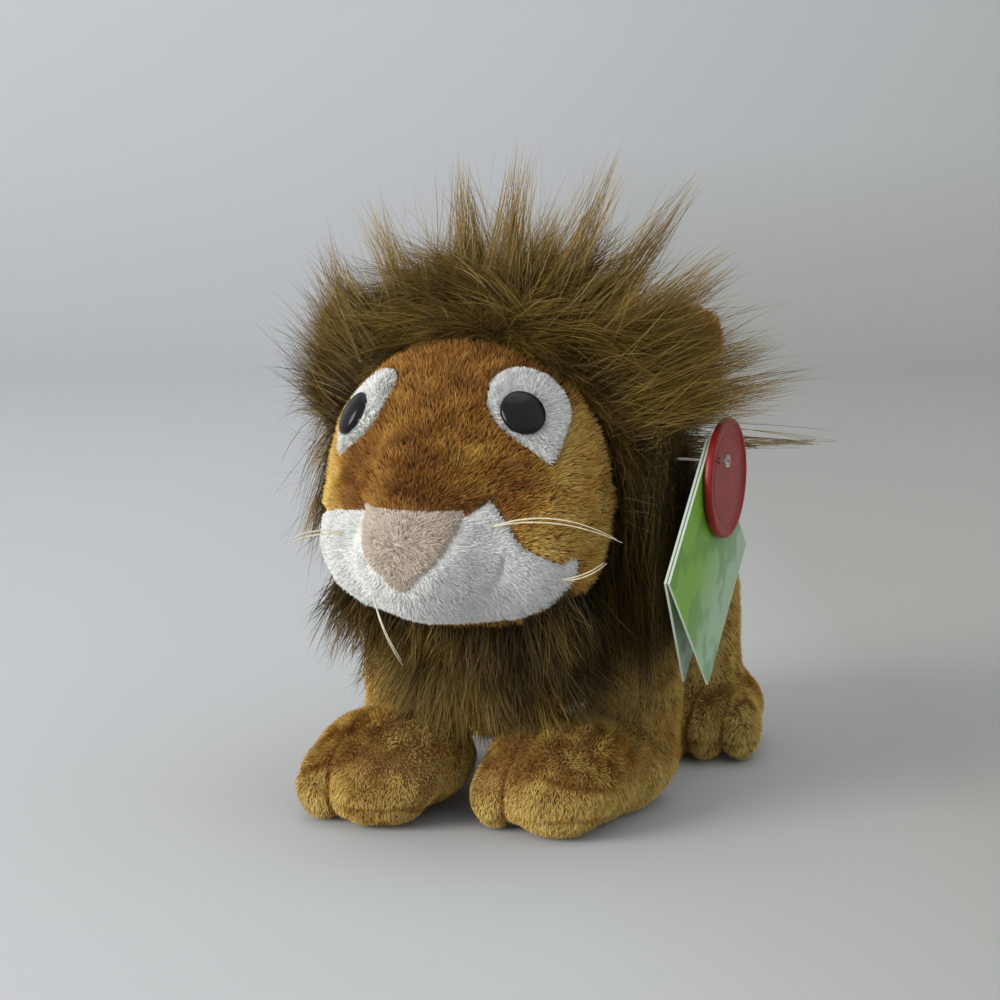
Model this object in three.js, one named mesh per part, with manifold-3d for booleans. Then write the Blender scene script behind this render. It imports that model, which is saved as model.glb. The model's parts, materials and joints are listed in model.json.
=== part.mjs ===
// A stuffed plush lion that stands on four big paws: fabric skins over fibre stuffing, a long pile mane,
// plastic eyes held by washers, and a hang tag on a plastic pin. Millimetres, +Z up, the lion faces -Y and
// its left side is +X.
import * as THREE from "three";
import { mergeVertices } from "three/addons/utils/BufferGeometryUtils.js";
import Module from "manifold-3d";

const wasm = await Module();
wasm.setup();

// Fabric, seams and cuts
const seamGap = 0.3;
const facetRoom = 0.5;
const skinThickness = 2;
const patchThickness = 1.3;
const soleFlat = 0.5;
const overrun = 200;

// Head: a ball with a broad snout, measured from its own centre
const headCentreY = -60;
const headCentreZ = 115;
const headHalfWidth = 49;
const headHalfDepth = 46;
const headHalfHeight = 49;
const snoutHalfWidth = 27;
const snoutHalfDepth = 36;
const snoutHalfHeight = 25;
const snoutForward = 27;
const snoutDrop = 18;
const bridgeHalfWidth = 21;
const bridgeHalfDepth = 31;
const bridgeHalfHeight = 23;
const bridgeForward = 24;
const bridgeRise = 1;
const cheekHalfWidth = 25;
const cheekHalfDepth = 30;
const cheekHalfHeight = 25;
const cheekOut = 22;
const cheekForward = 13;
const cheekDrop = 18;
const headBlend = 9;

// Neck: a fibre plug in round openings, on a line from the head's centre down to the torso
const neckSlopeAngle = 40;
const plugRadius = 15;
const plugInnerReach = 36;
const plugTorsoDepth = 5;
const collarRadius = 57;
const plugOuterReach = collarRadius + plugTorsoDepth;
const headTurnRange = 10;
const headNodRange = 8;

// Torso: chest, belly and rump
const torsoCentreY = 16;
const torsoCentreZ = 64;
const chestHalfWidth = 36;
const chestHalfDepth = 38;
const chestHalfHeight = 34;
const chestY = -20;
const chestZ = 66;
const bellyHalfWidth = 38;
const bellyHalfDepth = 60;
const bellyHalfHeight = 36;
const bellyZ = 63;
const rumpHalfWidth = 41;
const rumpHalfDepth = 38;
const rumpHalfHeight = 39;
const rumpY = 52;
const rumpZ = 63;
const torsoBlend = 12;

// Front legs: measured outwards from the seam at the shoulder
const shoulderSeamX = 24;
const shoulderY = -18;
const shoulderZ = 57;
const shoulderHalfWidth = 20;
const shoulderRadius = 22;
const shoulderOut = 14;
const foreLegHalfWidth = 17;
const foreLegHalfDepth = 18;
const foreLegHalfHeight = 30;
const foreLegOut = 19;
const foreLegBack = -2;
const foreLegDrop = 20;
const foreHeelHalfWidth = 18;
const foreHeelHalfDepth = 22;
const foreHeelHalfHeight = 16;
const foreHeelOut = 18;
const foreHeelForward = 9;
const forePawHalfWidth = 28;
const forePawHalfDepth = 33;
const forePawHalfHeight = 18;
const forePawOut = 5;
const forePawForward = 39;
const foreStride = 6;
const foreSpineOut = 14;
const foreSpineForward = 14;
const shoulderRoom = 25;
const shoulderInnerDrop = 24;

// Hind legs: measured outwards from the seam at the haunch
const haunchSeamX = 23;
const haunchY = 60;
const haunchZ = 58;
const haunchHalfWidth = 20;
const haunchHalfDepth = 32;
const haunchHalfHeight = 33;
const haunchOut = 11;
const hindLegHalfWidth = 16;
const hindLegHalfDepth = 22;
const hindLegHalfHeight = 30;
const hindLegOut = 17;
const hindLegDrop = 24;
const hindHeelHalfWidth = 18;
const hindHeelHalfDepth = 21;
const hindHeelHalfHeight = 15;
const hindHeelOut = 19;
const hindHeelBack = 12;
const hindPawHalfWidth = 21;
const hindPawHalfDepth = 26;
const hindPawHalfHeight = 15.5;
const hindPawOut = 22;
const hindPawForward = 4;
const hindStride = 0;
const hindSpineOut = 17;
const hindSpineBack = 4;
const haunchRoom = 36;
const haunchInnerDrop = 38;

// Paws and legs alike
const foreToeCount = 3;
const foreToeHalfWidth = 11;
const foreToeHalfDepth = 14;
const foreToeHalfHeight = 13.5;
const foreToePitch = 16.5;
const foreToeForward = 20;
const foreToeCurve = 5;
const foreToeBlend = 4;
const hindToeCount = 4;
const hindToeHalfWidth = 7.4;
const hindToeHalfDepth = 12;
const hindToeHalfHeight = 12.5;
const hindToePitch = 11.5;
const hindToeForward = 17;
const hindToeCurve = 2.5;
const hindToeBlend = 3;
const soleHalfWidth = 15;
const foreSoleHalfDepth = 32;
const hindSoleHalfDepth = 26;
const soleHalfHeight = 7;
const legBlend = 7;
const spineTopShare = 0.68;
const spineEndShare = 0.12;

// Eyes: domed plastic buttons on white teardrop patches
const eyeRadius = 7.6;
const eyeDome = 5.2;
const eyeRim = 0.8;
const eyeStemRadius = 2.2;
const eyeStemLength = 12;
const eyeOut = 28;
const eyeForward = 27.6;
const eyeRise = 24;
const eyeUneven = 1.7;
const washerRadius = 7;
const washerThickness = 1.5;
const patchRadius = 13.6;
const patchRise = 2;
const patchTipDrop = 15.5;
const patchTipOut = 5.5;
const patchTipRadius = 2.4;

// Muzzle and nose panels, drawn from the front in shares of the head's half width and half height
const muzzleOutlineShares = [
  [-1.1, -0.26],
  [-0.7, -0.15],
  [-0.34, -0.1],
  [0, -0.06],
  [0.34, -0.1],
  [0.45, 0],
  [0.66, -0.3],
  [0.84, -0.43],
  [1.1, -0.26],
  [1.1, -0.8],
  [0.6, -1.2],
  [-0.6, -1.2],
  [-1.1, -0.8],
];
const noseHalfWidth = 16;
const noseTop = -3;
const noseBottom = -29;
const noseRound = 6;
const panelBackShare = 0.12;

// Ears: cupped leaves that stand out through the mane
const earLength = 47;
const earHalfWidth = 15;
const earHalfThickness = 3.4;
const earCup = 2.2;
const earLeanAngle = 57;
const earBackAngle = 26;
const earFacingShare = 0.2;
const earFlopRange = 10;

// Mane: dense pile panels round the head with pointed locks
const maneTopDepth = 38;
const maneSideDepth = 24;
const maneEdgeDepth = 8;
const lockLength = 34;
const lockRootRadius = 12;
const lockTipRadius = 0.9;
const lockSunk = 4;
const maneFrontAngle = -6;
const maneSideAngle = 14;
const maneBackAngle = 80;
const maneSwellAngle = 26;
const crownAngle = 34;
const throatAngle = 118;
const maneAboveShare = 0.12;
const maneBesideShare = 0.7;
const maneAheadShare = 0.3;
const maneBelowShare = 0.45;
const maneFadeShare = 0.2;
const maneTopFadeShare = 0.7;

// Chest ruff: long pile on the front of the torso
const ruffTop = 84;
const ruffHeight = 24;
const ruffBack = -26;
const ruffDepth = 23;
const ruffHalfWidth = 43;
const ruffFloor = 45;
const ruffLegRoom = 28;

// Tail: a plush tube with a tuft of long pile
const tailRadius = 6;
const tailRootZ = 84;
const tailSeat = 2;
const tailDropLength = 46;
const tailReach = 30;
const tuftRadius = 9.5;
const tuftLength = 30;

// Whiskers: single bent filaments
const whiskerRadius = 0.35;
const whiskerSunk = 3;

// Hang tag: a card folded along its upper front edge, and a disc, on a plastic pin that runs along X
const tagSide = 58;
const tagThickness = 0.8;
const tagHoleInset = 7;
const tagHoleRadius = 1.1;
const tagRestAngle = 7;
const tagX = 76;
const tagHoleY = -43;
const tagHoleZ = 123.5;
const discRadius = 20;
const discThickness = 2.6;
const discOff = 1.4;
const discHoleBack = 10;
const discHoleDrop = 7;
const discHoleRadius = 1.1;
const discRim = 2;
const discDish = 0.6;
const pinRadius = 0.6;
const tagRoomBack = 46;
const pinSlack = 6;
const pinHeadRadius = 2.6;
const pinHeadThickness = 1.2;

// Facets of the round and grown forms
const roundSides = 16;
const boreSides = 10;
const coneSteps = 4;
const reachSteps = 30;
const headRings = 13;
const headSides = 18;
const insideRings = 9;
const insideSides = 14;
const legRings = 9;
const legSides = 14;
const torsoRings = 10;
const torsoSides = 16;
const collarRings = 14;
const collarSides = 24;
const pocketSides = 22;
const earRings = 8;
const earSides = 12;
const earCutRings = 4;
const earCutSides = 14;
const maneRows = 6;
const crownColumns = 6;
const sideColumns = 8;
const throatColumns = 10;
const lockSteps = 3;
const lockSides = 5;
const ruffRings = 9;
const ruffSides = 18;
const ballRings = 8;
const ballSides = 12;
const curveSteps = 8;
const edgeSegments = 6;
const patchSegments = 7;
const domeSteps = 4;
const discSegments = 14;

// Materials as the photo shows them
function finish(color, roughness, metalness = 0) {
  return new THREE.MeshStandardMaterial({ color, roughness, metalness });
}
const tanPlush = () => finish(0xa9793a, 0.95);
const whitePlush = () => finish(0xe6e4dc, 0.95);
const pinkPlush = () => finish(0xd8c5b4, 0.95);
const maneFur = () => finish(0x6b5128, 0.9);
const fibre = () => finish(0xf2f1ec, 1);
const blackPlastic = () => finish(0x0b0a09, 0.12);
const whitePlastic = () => finish(0xdedbd2, 0.5);
const cream = () => finish(0xe9dfc2, 0.4);
const greenCard = () => finish(0x9fc45a, 0.6);
const mintCard = () => finish(0xa9c9a4, 0.7);
const redPlastic = () => finish(0xb3402f, 0.3);

// A closed geometry as a solid that can be joined and cut.
function solidOf(geometry) {
  const bare = new THREE.BufferGeometry();
  bare.setAttribute("position", geometry.getAttribute("position").clone());
  if (geometry.index) bare.setIndex(geometry.index.clone());
  const merged = mergeVertices(bare);
  const triVerts = new Uint32Array(merged.index.array);
  const vertProperties = merged.attributes.position.array;
  const made = new wasm.Manifold(
    new wasm.Mesh({ numProp: 3, vertProperties, triVerts }),
  );
  if (made.volume() >= 0) return made;
  for (let i = 0; i < triVerts.length; i += 3) {
    [triVerts[i + 1], triVerts[i + 2]] = [triVerts[i + 2], triVerts[i + 1]];
  }
  return new wasm.Manifold(
    new wasm.Mesh({ numProp: 3, vertProperties, triVerts }),
  );
}

// The solid as a geometry again, with its largest piece only: a cut can leave crumbs at an edge.
function geometryOf(solid) {
  const bodies = solid.decompose();
  bodies.sort((a, b) => b.volume() - a.volume());
  const mesh = bodies[0].getMesh();
  const geometry = new THREE.BufferGeometry();
  const stride = mesh.numProp;
  const places = new Float32Array(mesh.numVert * 3);
  for (let i = 0; i < mesh.numVert; i += 1) {
    places.set(mesh.vertProperties.subarray(i * stride, i * stride + 3), i * 3);
  }
  geometry.setAttribute("position", new THREE.BufferAttribute(places, 3));
  geometry.setIndex(new THREE.BufferAttribute(mesh.triVerts, 1));
  geometry.computeVertexNormals();
  return geometry;
}

function named(name, solid, material) {
  const mesh = new THREE.Mesh(geometryOf(solid), material);
  mesh.name = name;
  return mesh;
}

const point = (x, y, z) => new THREE.Vector3(x, y, z);
const degrees = THREE.MathUtils.degToRad;
const fullTurn = 360;

// Signed distance, nearly, to an ellipsoid.
function swell(centre, halves) {
  return (p) => {
    const q = p.clone().sub(centre).divide(halves);
    const near = q.length();
    const slope = q.divide(halves).length();
    if (slope === 0) return -Math.min(halves.x, halves.y, halves.z);
    return (near * (near - 1)) / slope;
  };
}

// Several swells run together, with a fillet of about the blend's size.
function blended(swells, blend) {
  return (p) =>
    swells
      .map((s) => s(p))
      .reduce((a, b) => {
        const h = Math.max(blend - Math.abs(a - b), 0) / blend;
        return Math.min(a, b) - (h * h * blend) / 4;
      });
}

// How far from a point inside the form its surface lies, at an offset outwards.
function reachTo(form, from, direction, offset) {
  let near = 0;
  let far = overrun;
  for (let i = 0; i < reachSteps; i += 1) {
    const middle = (near + far) / 2;
    const p = from.clone().addScaledVector(direction, middle);
    if (form(p) < offset) near = middle;
    else far = middle;
  }
  return near;
}

// A closed surface from a start pole, rings of points and an end pole.
function ringGeometry(start, rings, end) {
  const sides = rings[0].length;
  const places = [start, ...rings.flat(), end];
  const index = [];
  const last = places.length - 1;
  for (let j = 0; j < sides; j += 1) {
    const k = (j + 1) % sides;
    index.push(0, 1 + j, 1 + k);
    for (let i = 0; i < rings.length - 1; i += 1) {
      const a = 1 + i * sides + j;
      const b = 1 + i * sides + k;
      index.push(a, a + sides, b, b, a + sides, b + sides);
    }
    const base = 1 + (rings.length - 1) * sides;
    index.push(base + j, last, base + k);
  }
  const geometry = new THREE.BufferGeometry();
  geometry.setAttribute(
    "position",
    new THREE.Float32BufferAttribute(
      places.flatMap((p) => [p.x, p.y, p.z]),
      3,
    ),
  );
  geometry.setIndex(index);
  return geometry;
}

// A form seen from one point inside it, with its poles along Y.
function roundForm(form, centre, offset, rings, sides) {
  const at = (polar, turn) => {
    const direction = point(
      Math.sin(polar) * Math.cos(turn),
      -Math.cos(polar),
      Math.sin(polar) * Math.sin(turn),
    );
    const reach = reachTo(form, centre, direction, offset);
    return centre.clone().addScaledVector(direction, reach);
  };
  const circles = [];
  for (let i = 1; i < rings; i += 1) {
    const circle = [];
    for (let j = 0; j < sides; j += 1) {
      circle.push(at((Math.PI * i) / rings, (2 * Math.PI * j) / sides));
    }
    circles.push(circle);
  }
  return ringGeometry(at(0, 0), circles, at(Math.PI, 0));
}

// A form along a spine: rings across the spine, whose points lie on the form's surface.
function spineForm(form, spine, offset, rings, sides) {
  const curve = new THREE.CatmullRomCurve3(spine);
  const across = point(1, 0, 0);
  const circles = [];
  for (let i = 0; i <= rings; i += 1) {
    const share = i / rings;
    const centre = curve.getPointAt(share);
    const along = curve.getTangentAt(share);
    const side = across.clone().addScaledVector(along, -across.dot(along));
    side.normalize();
    const up = along.clone().cross(side);
    const circle = [];
    for (let j = 0; j < sides; j += 1) {
      const turn = (2 * Math.PI * j) / sides;
      const direction = side
        .clone()
        .multiplyScalar(Math.cos(turn))
        .addScaledVector(up, Math.sin(turn));
      const reach = reachTo(form, centre, direction, offset);
      circle.push(centre.clone().addScaledVector(direction, reach));
    }
    circles.push(circle);
  }
  const pole = (share, sign) => {
    const centre = curve.getPointAt(share);
    const direction = curve.getTangentAt(share).multiplyScalar(sign);
    const reach = reachTo(form, centre, direction, offset);
    return centre.clone().addScaledVector(direction, reach);
  };
  return ringGeometry(pole(0, -1), circles, pole(1, 1));
}

// A large block whose one face lies at the given value of an axis, on the lower or upper side.
function block(axis, value, side) {
  const geometry = new THREE.BoxGeometry(2 * overrun, 2 * overrun, 2 * overrun);
  const shift = point(0, 0, 0);
  shift[axis] = value + side * overrun;
  geometry.translate(shift.x, shift.y, shift.z);
  return solidOf(geometry);
}

function sphere(centre, radius, rings, sides) {
  const geometry = new THREE.SphereGeometry(radius, sides, rings);
  geometry.translate(centre.x, centre.y, centre.z);
  return solidOf(geometry);
}

// A turned solid about an axis that starts at a point; the profile is pairs of radius and height.
function turned(profile, sides, from, direction) {
  const geometry = new THREE.LatheGeometry(
    profile.map(([r, h]) => new THREE.Vector2(r, h)),
    sides,
  );
  const turn = new THREE.Quaternion().setFromUnitVectors(
    point(0, 1, 0),
    direction.clone().normalize(),
  );
  geometry.applyQuaternion(turn);
  geometry.translate(from.x, from.y, from.z);
  return solidOf(geometry);
}

function rod(radius, start, length, sides, from, direction) {
  const profile = [
    [0, start],
    [radius, start],
    [radius, start + length],
    [0, start + length],
  ];
  return turned(profile, sides, from, direction);
}

// Head: everything here is measured from the head's centre
const headCentre = point(0, headCentreY, headCentreZ);
const middle = point(0, 0, 0);
const headForm = blended(
  [
    swell(middle, point(headHalfWidth, headHalfDepth, headHalfHeight)),
    swell(
      point(0, -snoutForward, -snoutDrop),
      point(snoutHalfWidth, snoutHalfDepth, snoutHalfHeight),
    ),
    swell(
      point(0, -bridgeForward, bridgeRise),
      point(bridgeHalfWidth, bridgeHalfDepth, bridgeHalfHeight),
    ),
    ...[-1, 1].map((side) =>
      swell(
        point(side * cheekOut, -cheekForward, -cheekDrop),
        point(cheekHalfWidth, cheekHalfDepth, cheekHalfHeight),
      ),
    ),
  ],
  headBlend,
);
const headBall = (offset) =>
  solidOf(roundForm(headForm, middle, offset, headRings, headSides));
const headInside = (gap) =>
  solidOf(
    roundForm(
      headForm,
      middle,
      -skinThickness - gap,
      insideRings,
      insideSides,
    ),
  );

// Neck line and the cone that the plug may sweep as the head moves
const neckLine = point(
  0,
  Math.cos(degrees(neckSlopeAngle)),
  -Math.sin(degrees(neckSlopeAngle)),
);
const plugAngle = Math.asin(plugRadius / plugInnerReach);
function neckCone(reachFrom, outerReach, halfAngle, origin) {
  const profile = [];
  for (let i = 0; i <= coneSteps; i += 1) {
    const turn = (halfAngle * i) / coneSteps;
    profile.push([outerReach * Math.sin(turn), outerReach * Math.cos(turn)]);
  }
  for (let i = coneSteps; i >= 0; i -= 1) {
    const turn = (halfAngle * i) / coneSteps;
    profile.push([reachFrom * Math.sin(turn), reachFrom * Math.cos(turn)]);
  }
  return turned(profile, pocketSides, origin, neckLine);
}
const headNeckHole = neckCone(
  plugInnerReach - seamGap - facetRoom,
  plugOuterReach + plugRadius,
  plugAngle + degrees(headNodRange) + facetRoom / plugInnerReach,
  middle,
);
const headShell = headBall(0)
  .subtract(headInside(0))
  .subtract(headNeckHole);
const headStuffing = headInside(seamGap).subtract(headNeckHole);

// Panels of the face: prisms that run out through the front of the head
function frontPrism(shape, backY) {
  const geometry = new THREE.ExtrudeGeometry(shape, {
    depth: overrun,
    bevelEnabled: false,
    curveSegments: edgeSegments,
  });
  geometry.rotateX(Math.PI / 2);
  geometry.translate(0, backY, 0);
  return solidOf(geometry);
}
// The outline with every edge moved inwards, its corners mitred; its points run clockwise.
function insetOutline(points, inset) {
  return points.map((p, i) => {
    const before = points[(i + points.length - 1) % points.length];
    const after = points[(i + 1) % points.length];
    const a = p.clone().sub(before).normalize();
    const b = after.clone().sub(p).normalize();
    const normal = new THREE.Vector2(a.y + b.y, -a.x - b.x).normalize();
    const lean = normal.dot(new THREE.Vector2(a.y, -a.x));
    return p.clone().addScaledVector(normal, inset / lean);
  });
}
function muzzleShape(inset) {
  const outline = muzzleOutlineShares.map(
    ([x, z]) => new THREE.Vector2(x * headHalfWidth, z * headHalfHeight),
  );
  return new THREE.Shape(insetOutline(outline, inset));
}
function noseShape(inset) {
  const half = noseHalfWidth - inset;
  const top = noseTop - inset;
  const low = noseBottom + inset;
  const shape = new THREE.Shape();
  shape.moveTo(-half, top);
  shape.quadraticCurveTo(-half, (top + low) / 2, -noseRound, low + noseRound);
  shape.quadraticCurveTo(0, low - noseRound / 2, noseRound, low + noseRound);
  shape.quadraticCurveTo(half, (top + low) / 2, half, top);
  shape.closePath();
  return shape;
}
const panelBack = -headHalfDepth * panelBackShare;
const muzzleBack = block("y", panelBack, -1);
const eyes = [-1, 1].map((side) => {
  const direction = point(
    side * eyeOut,
    -eyeForward,
    eyeRise + side * eyeUneven,
  ).normalize();
  const surface = reachTo(headForm, middle, direction, 0);
  const seat = direction.clone().multiplyScalar(surface);
  return { side, direction, seat };
});
let headSkin = headShell
  .subtract(frontPrism(muzzleShape(0), panelBack))
  .subtract(frontPrism(noseShape(0), 0));
const muzzlePanel = headShell
  .intersect(frontPrism(muzzleShape(seamGap), panelBack - seamGap))
  .intersect(muzzleBack)
  .subtract(frontPrism(noseShape(0), 0));
const nosePanel = headShell.intersect(frontPrism(noseShape(seamGap), 0));

const head = new THREE.Group();
head.position.copy(headCentre);

// The depth below an eye's seat at which a disc of a radius clears the inside of the head's skin
function depthUnderSkin(seat, direction, radius) {
  const across = point(0, 0, 1).cross(direction).normalize();
  const other = direction.clone().cross(across);
  const clear = skinThickness + seamGap + 2 * facetRoom;
  const depths = [];
  for (let i = 0; i < roundSides; i += 1) {
    const turn = (2 * Math.PI * i) / roundSides;
    const from = seat
      .clone()
      .addScaledVector(across, radius * Math.cos(turn))
      .addScaledVector(other, radius * Math.sin(turn))
      .addScaledVector(direction, -headHalfDepth / 2);
    const rise = reachTo(headForm, from, direction, -clear);
    depths.push(headHalfDepth / 2 - rise);
  }
  return Math.max(...depths);
}

// Eyes, washers and patches
const patchShell = headBall(patchThickness + seamGap).subtract(
  headBall(seamGap),
);
let stuffedHead = headStuffing;
eyes.forEach(({ side, direction, seat }) => {
  const label = side > 0 ? "left" : "right";
  const turn = new THREE.Matrix4().lookAt(direction, middle, point(0, 0, 1));
  const outline = new THREE.Shape();
  const tip = new THREE.Vector2(side * patchTipOut, -patchTipDrop);
  const tipTurn = Math.atan2(tip.y, tip.x);
  const opening = Math.acos((patchRadius - patchTipRadius) / tip.length());
  outline.absarc(
    0,
    0,
    patchRadius,
    tipTurn + opening,
    tipTurn + 2 * Math.PI - opening,
  );
  outline.absarc(
    tip.x,
    tip.y,
    patchTipRadius,
    tipTurn - opening,
    tipTurn + opening,
  );
  const prism = new THREE.ExtrudeGeometry(outline, {
    depth: headHalfDepth,
    bevelEnabled: false,
    curveSegments: patchSegments,
  });
  prism.translate(0, patchRise, 0);
  prism.applyMatrix4(turn);
  prism.translate(seat.x / 2, seat.y / 2, seat.z / 2);
  const bore = rod(
    eyeStemRadius + seamGap,
    -eyeStemLength - facetRoom,
    2 * eyeStemLength,
    roundSides,
    seat,
    direction,
  );
  const patch = patchShell.intersect(solidOf(prism)).subtract(bore);
  head.add(named("eye_patch_" + label, patch, whitePlush()));
  headSkin = headSkin.subtract(bore);
  const backFace = patchThickness + 2 * seamGap;
  const dome = [[0, -eyeStemLength]];
  dome.push([eyeStemRadius, -eyeStemLength]);
  dome.push([eyeStemRadius, backFace]);
  dome.push([eyeRadius, backFace]);
  for (let i = 0; i <= domeSteps; i += 1) {
    const a = (Math.PI / 2) * (i / domeSteps);
    dome.push([
      i === domeSteps ? 0 : eyeRadius * Math.cos(a),
      backFace + eyeRim + (eyeDome - eyeRim) * Math.sin(a),
    ]);
  }
  const eye = turned(dome, roundSides, seat, direction);
  head.add(named("eye_" + label, eye, blackPlastic()));
  const washerTop = -depthUnderSkin(seat, direction, washerRadius);
  const washer = turned(
    [
      [eyeStemRadius + seamGap, washerTop - washerThickness],
      [washerRadius, washerTop - washerThickness],
      [washerRadius, washerTop],
      [eyeStemRadius + seamGap, washerTop],
      [eyeStemRadius + seamGap, washerTop - washerThickness],
    ],
    roundSides,
    seat,
    direction,
  );
  head.add(named("eye_washer_" + label, washer, whitePlastic()));
  const pocket = rod(
    washerRadius + seamGap,
    washerTop - washerThickness - seamGap,
    eyeStemLength,
    roundSides,
    seat,
    direction,
  );
  const stemPocket = rod(
    eyeStemRadius + seamGap,
    -eyeStemLength - seamGap,
    eyeStemLength,
    roundSides,
    seat,
    direction,
  );
  stuffedHead = stuffedHead.subtract(pocket).subtract(stemPocket);
});
head.add(named("head_skin", headSkin, tanPlush()));
head.add(named("muzzle_panel", muzzlePanel, whitePlush()));
head.add(named("nose_panel", nosePanel, pinkPlush()));
head.add(named("head_stuffing", stuffedHead, fibre()));

// Ears: the root is rounded about the seam that the ear flops on
const earForm = (grow, rings = earRings, sides = earSides) => {
  const rise = earLength / 2;
  const centre = point(0, 0, rise - earHalfThickness);
  const halves = point(
    earHalfWidth + grow,
    earHalfThickness + grow,
    rise + grow,
  );
  return roundForm(swell(centre, halves), centre, 0, rings, sides);
};
const ears = [-1, 1].map((side) => {
  const direction = point(
    side * Math.sin(degrees(earLeanAngle)) * Math.cos(degrees(earBackAngle)),
    Math.sin(degrees(earLeanAngle)) * Math.sin(degrees(earBackAngle)),
    Math.cos(degrees(earLeanAngle)),
  );
  const reach =
    reachTo(headForm, middle, direction, seamGap) + earHalfThickness;
  const root = direction.clone().multiplyScalar(reach + facetRoom);
  const facing = point(side * earFacingShare, -1, 0);
  facing.addScaledVector(direction, -facing.dot(direction)).normalize();
  const width = direction.clone().cross(facing).normalize();
  const place = new THREE.Matrix4().makeBasis(
    width,
    facing.clone().negate(),
    direction,
  );
  place.setPosition(root);
  return { side, root, width, place };
});
function earSweep(ear) {
  const grow = seamGap + 3 * facetRoom;
  const places = [-earFlopRange, 0, earFlopRange].map((turn) => {
    const geometry = earForm(grow, earCutRings, earCutSides);
    geometry.rotateX(degrees(turn));
    geometry.applyMatrix4(ear.place);
    return solidOf(geometry);
  });
  return wasm.Manifold.hull(places);
}
ears.forEach((ear) => {
  const cup = earForm(-earHalfThickness / 3);
  cup.translate(0, -earCup - earHalfThickness / 2, 0);
  const leaf = solidOf(earForm(0)).subtract(solidOf(cup));
  const mesh = named(
    "ear_" + (ear.side > 0 ? "left" : "right"),
    leaf,
    tanPlush(),
  );
  mesh.applyMatrix4(ear.place);
  head.add(mesh);
});

// Mane: panels of long pile between the head and a reach, in clock angle round the face and rake backwards
function maneDirection(clock, rake) {
  return point(
    Math.sin(degrees(clock)) * Math.cos(degrees(rake)),
    Math.sin(degrees(rake)),
    Math.cos(degrees(clock)) * Math.cos(degrees(rake)),
  );
}
const ramp = (value) => THREE.MathUtils.smoothstep(value, 0, 1);
// The rake at which the pile starts: further back beside the face than over it and under it.
const maneFront = (clock) =>
  maneFrontAngle + maneSideAngle * Math.sin(degrees(clock)) ** 2;
const collarReach = collarRadius - seamGap - 2 * facetRoom;

// Share of the full depth that the pile has in a direction: it lies flat where the torso passes under it.
function maneRoom(direction) {
  const above = ramp((direction.z - maneAboveShare) / maneFadeShare);
  const beside =
    ramp((Math.abs(direction.x) - maneBesideShare) / maneFadeShare) *
    ramp((maneAheadShare - direction.y) / maneFadeShare) *
    ramp((direction.z + maneBelowShare) / maneFadeShare);
  return Math.max(above, beside);
}
function maneReach(clock, rake) {
  const direction = maneDirection(clock, rake);
  const skull = reachTo(headForm, middle, direction, 0);
  const swellShare = ramp((rake - maneFront(clock)) / maneSwellAngle);
  const topShare = ramp((direction.z - maneAboveShare) / maneTopFadeShare);
  const most = maneSideDepth + (maneTopDepth - maneSideDepth) * topShare;
  const depth = maneEdgeDepth + (most - maneEdgeDepth) * swellShare;
  const full = skull + depth;
  const flat = Math.min(full, collarReach);
  return flat + (full - flat) * maneRoom(direction);
}
function thickPatch(outer, inner) {
  const rows = outer.length;
  const columns = outer[0].length;
  const places = [...outer.flat(), ...inner.flat()];
  const half = rows * columns;
  const index = [];
  const quad = (a, b, c, d) => index.push(a, b, c, a, c, d);
  for (let i = 0; i + 1 < rows; i += 1) {
    for (let j = 0; j + 1 < columns; j += 1) {
      const a = i * columns + j;
      const b = a + columns;
      quad(a, b, b + 1, a + 1);
      quad(half + a, half + a + 1, half + b + 1, half + b);
    }
    const left = i * columns;
    const right = left + columns - 1;
    quad(left, half + left, half + left + columns, left + columns);
    quad(right, right + columns, half + right + columns, half + right);
  }
  for (let j = 0; j + 1 < columns; j += 1) {
    const top = (rows - 1) * columns + j;
    quad(j, j + 1, half + j + 1, half + j);
    quad(top, half + top, half + top + 1, top + 1);
  }
  const geometry = new THREE.BufferGeometry();
  geometry.setAttribute(
    "position",
    new THREE.Float32BufferAttribute(
      places.flatMap((p) => [p.x, p.y, p.z]),
      3,
    ),
  );
  geometry.setIndex(index);
  return solidOf(geometry);
}

// The half space on one side of a plane that holds the Y axis, at a clock angle.
function clockHalf(clock, sense) {
  const geometry = new THREE.BoxGeometry(2 * overrun, 2 * overrun, 2 * overrun);
  geometry.translate(overrun + seamGap / 2, 0, 0);
  geometry.rotateY(degrees(clock) + (sense < 0 ? Math.PI : 0));
  return solidOf(geometry);
}

// A pointed lock of pile: it leaves along a direction and its tip droops.
function lock(clock, rake, length, droop) {
  const direction = maneDirection(clock, rake);
  const rootReach = maneReach(clock, rake) - lockSunk;
  const reach = rootReach + length;
  const root = direction.clone().multiplyScalar(rootReach);
  const tip = direction.clone().multiplyScalar(reach);
  tip.z -= droop;
  const control = direction.clone().multiplyScalar((rootReach + reach) / 2);
  const curve = new THREE.QuadraticBezierCurve3(root, control, tip);
  const side = point(0, 1, 0).cross(direction).normalize();
  const rings = [];
  for (let i = 0; i < lockSteps; i += 1) {
    const share = i / lockSteps;
    const centre = curve.getPointAt(share);
    const along = curve.getTangentAt(share);
    const up = along.clone().cross(side).normalize();
    const radius =
      lockTipRadius + (lockRootRadius - lockTipRadius) * (1 - share);
    const ring = [];
    for (let j = 0; j < lockSides; j += 1) {
      const turn = (2 * Math.PI * j) / lockSides;
      ring.push(
        centre
          .clone()
          .addScaledVector(side, radius * Math.cos(turn))
          .addScaledVector(up, radius * Math.sin(turn)),
      );
    }
    rings.push(ring);
  }
  return solidOf(ringGeometry(root, rings, tip));
}
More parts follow.
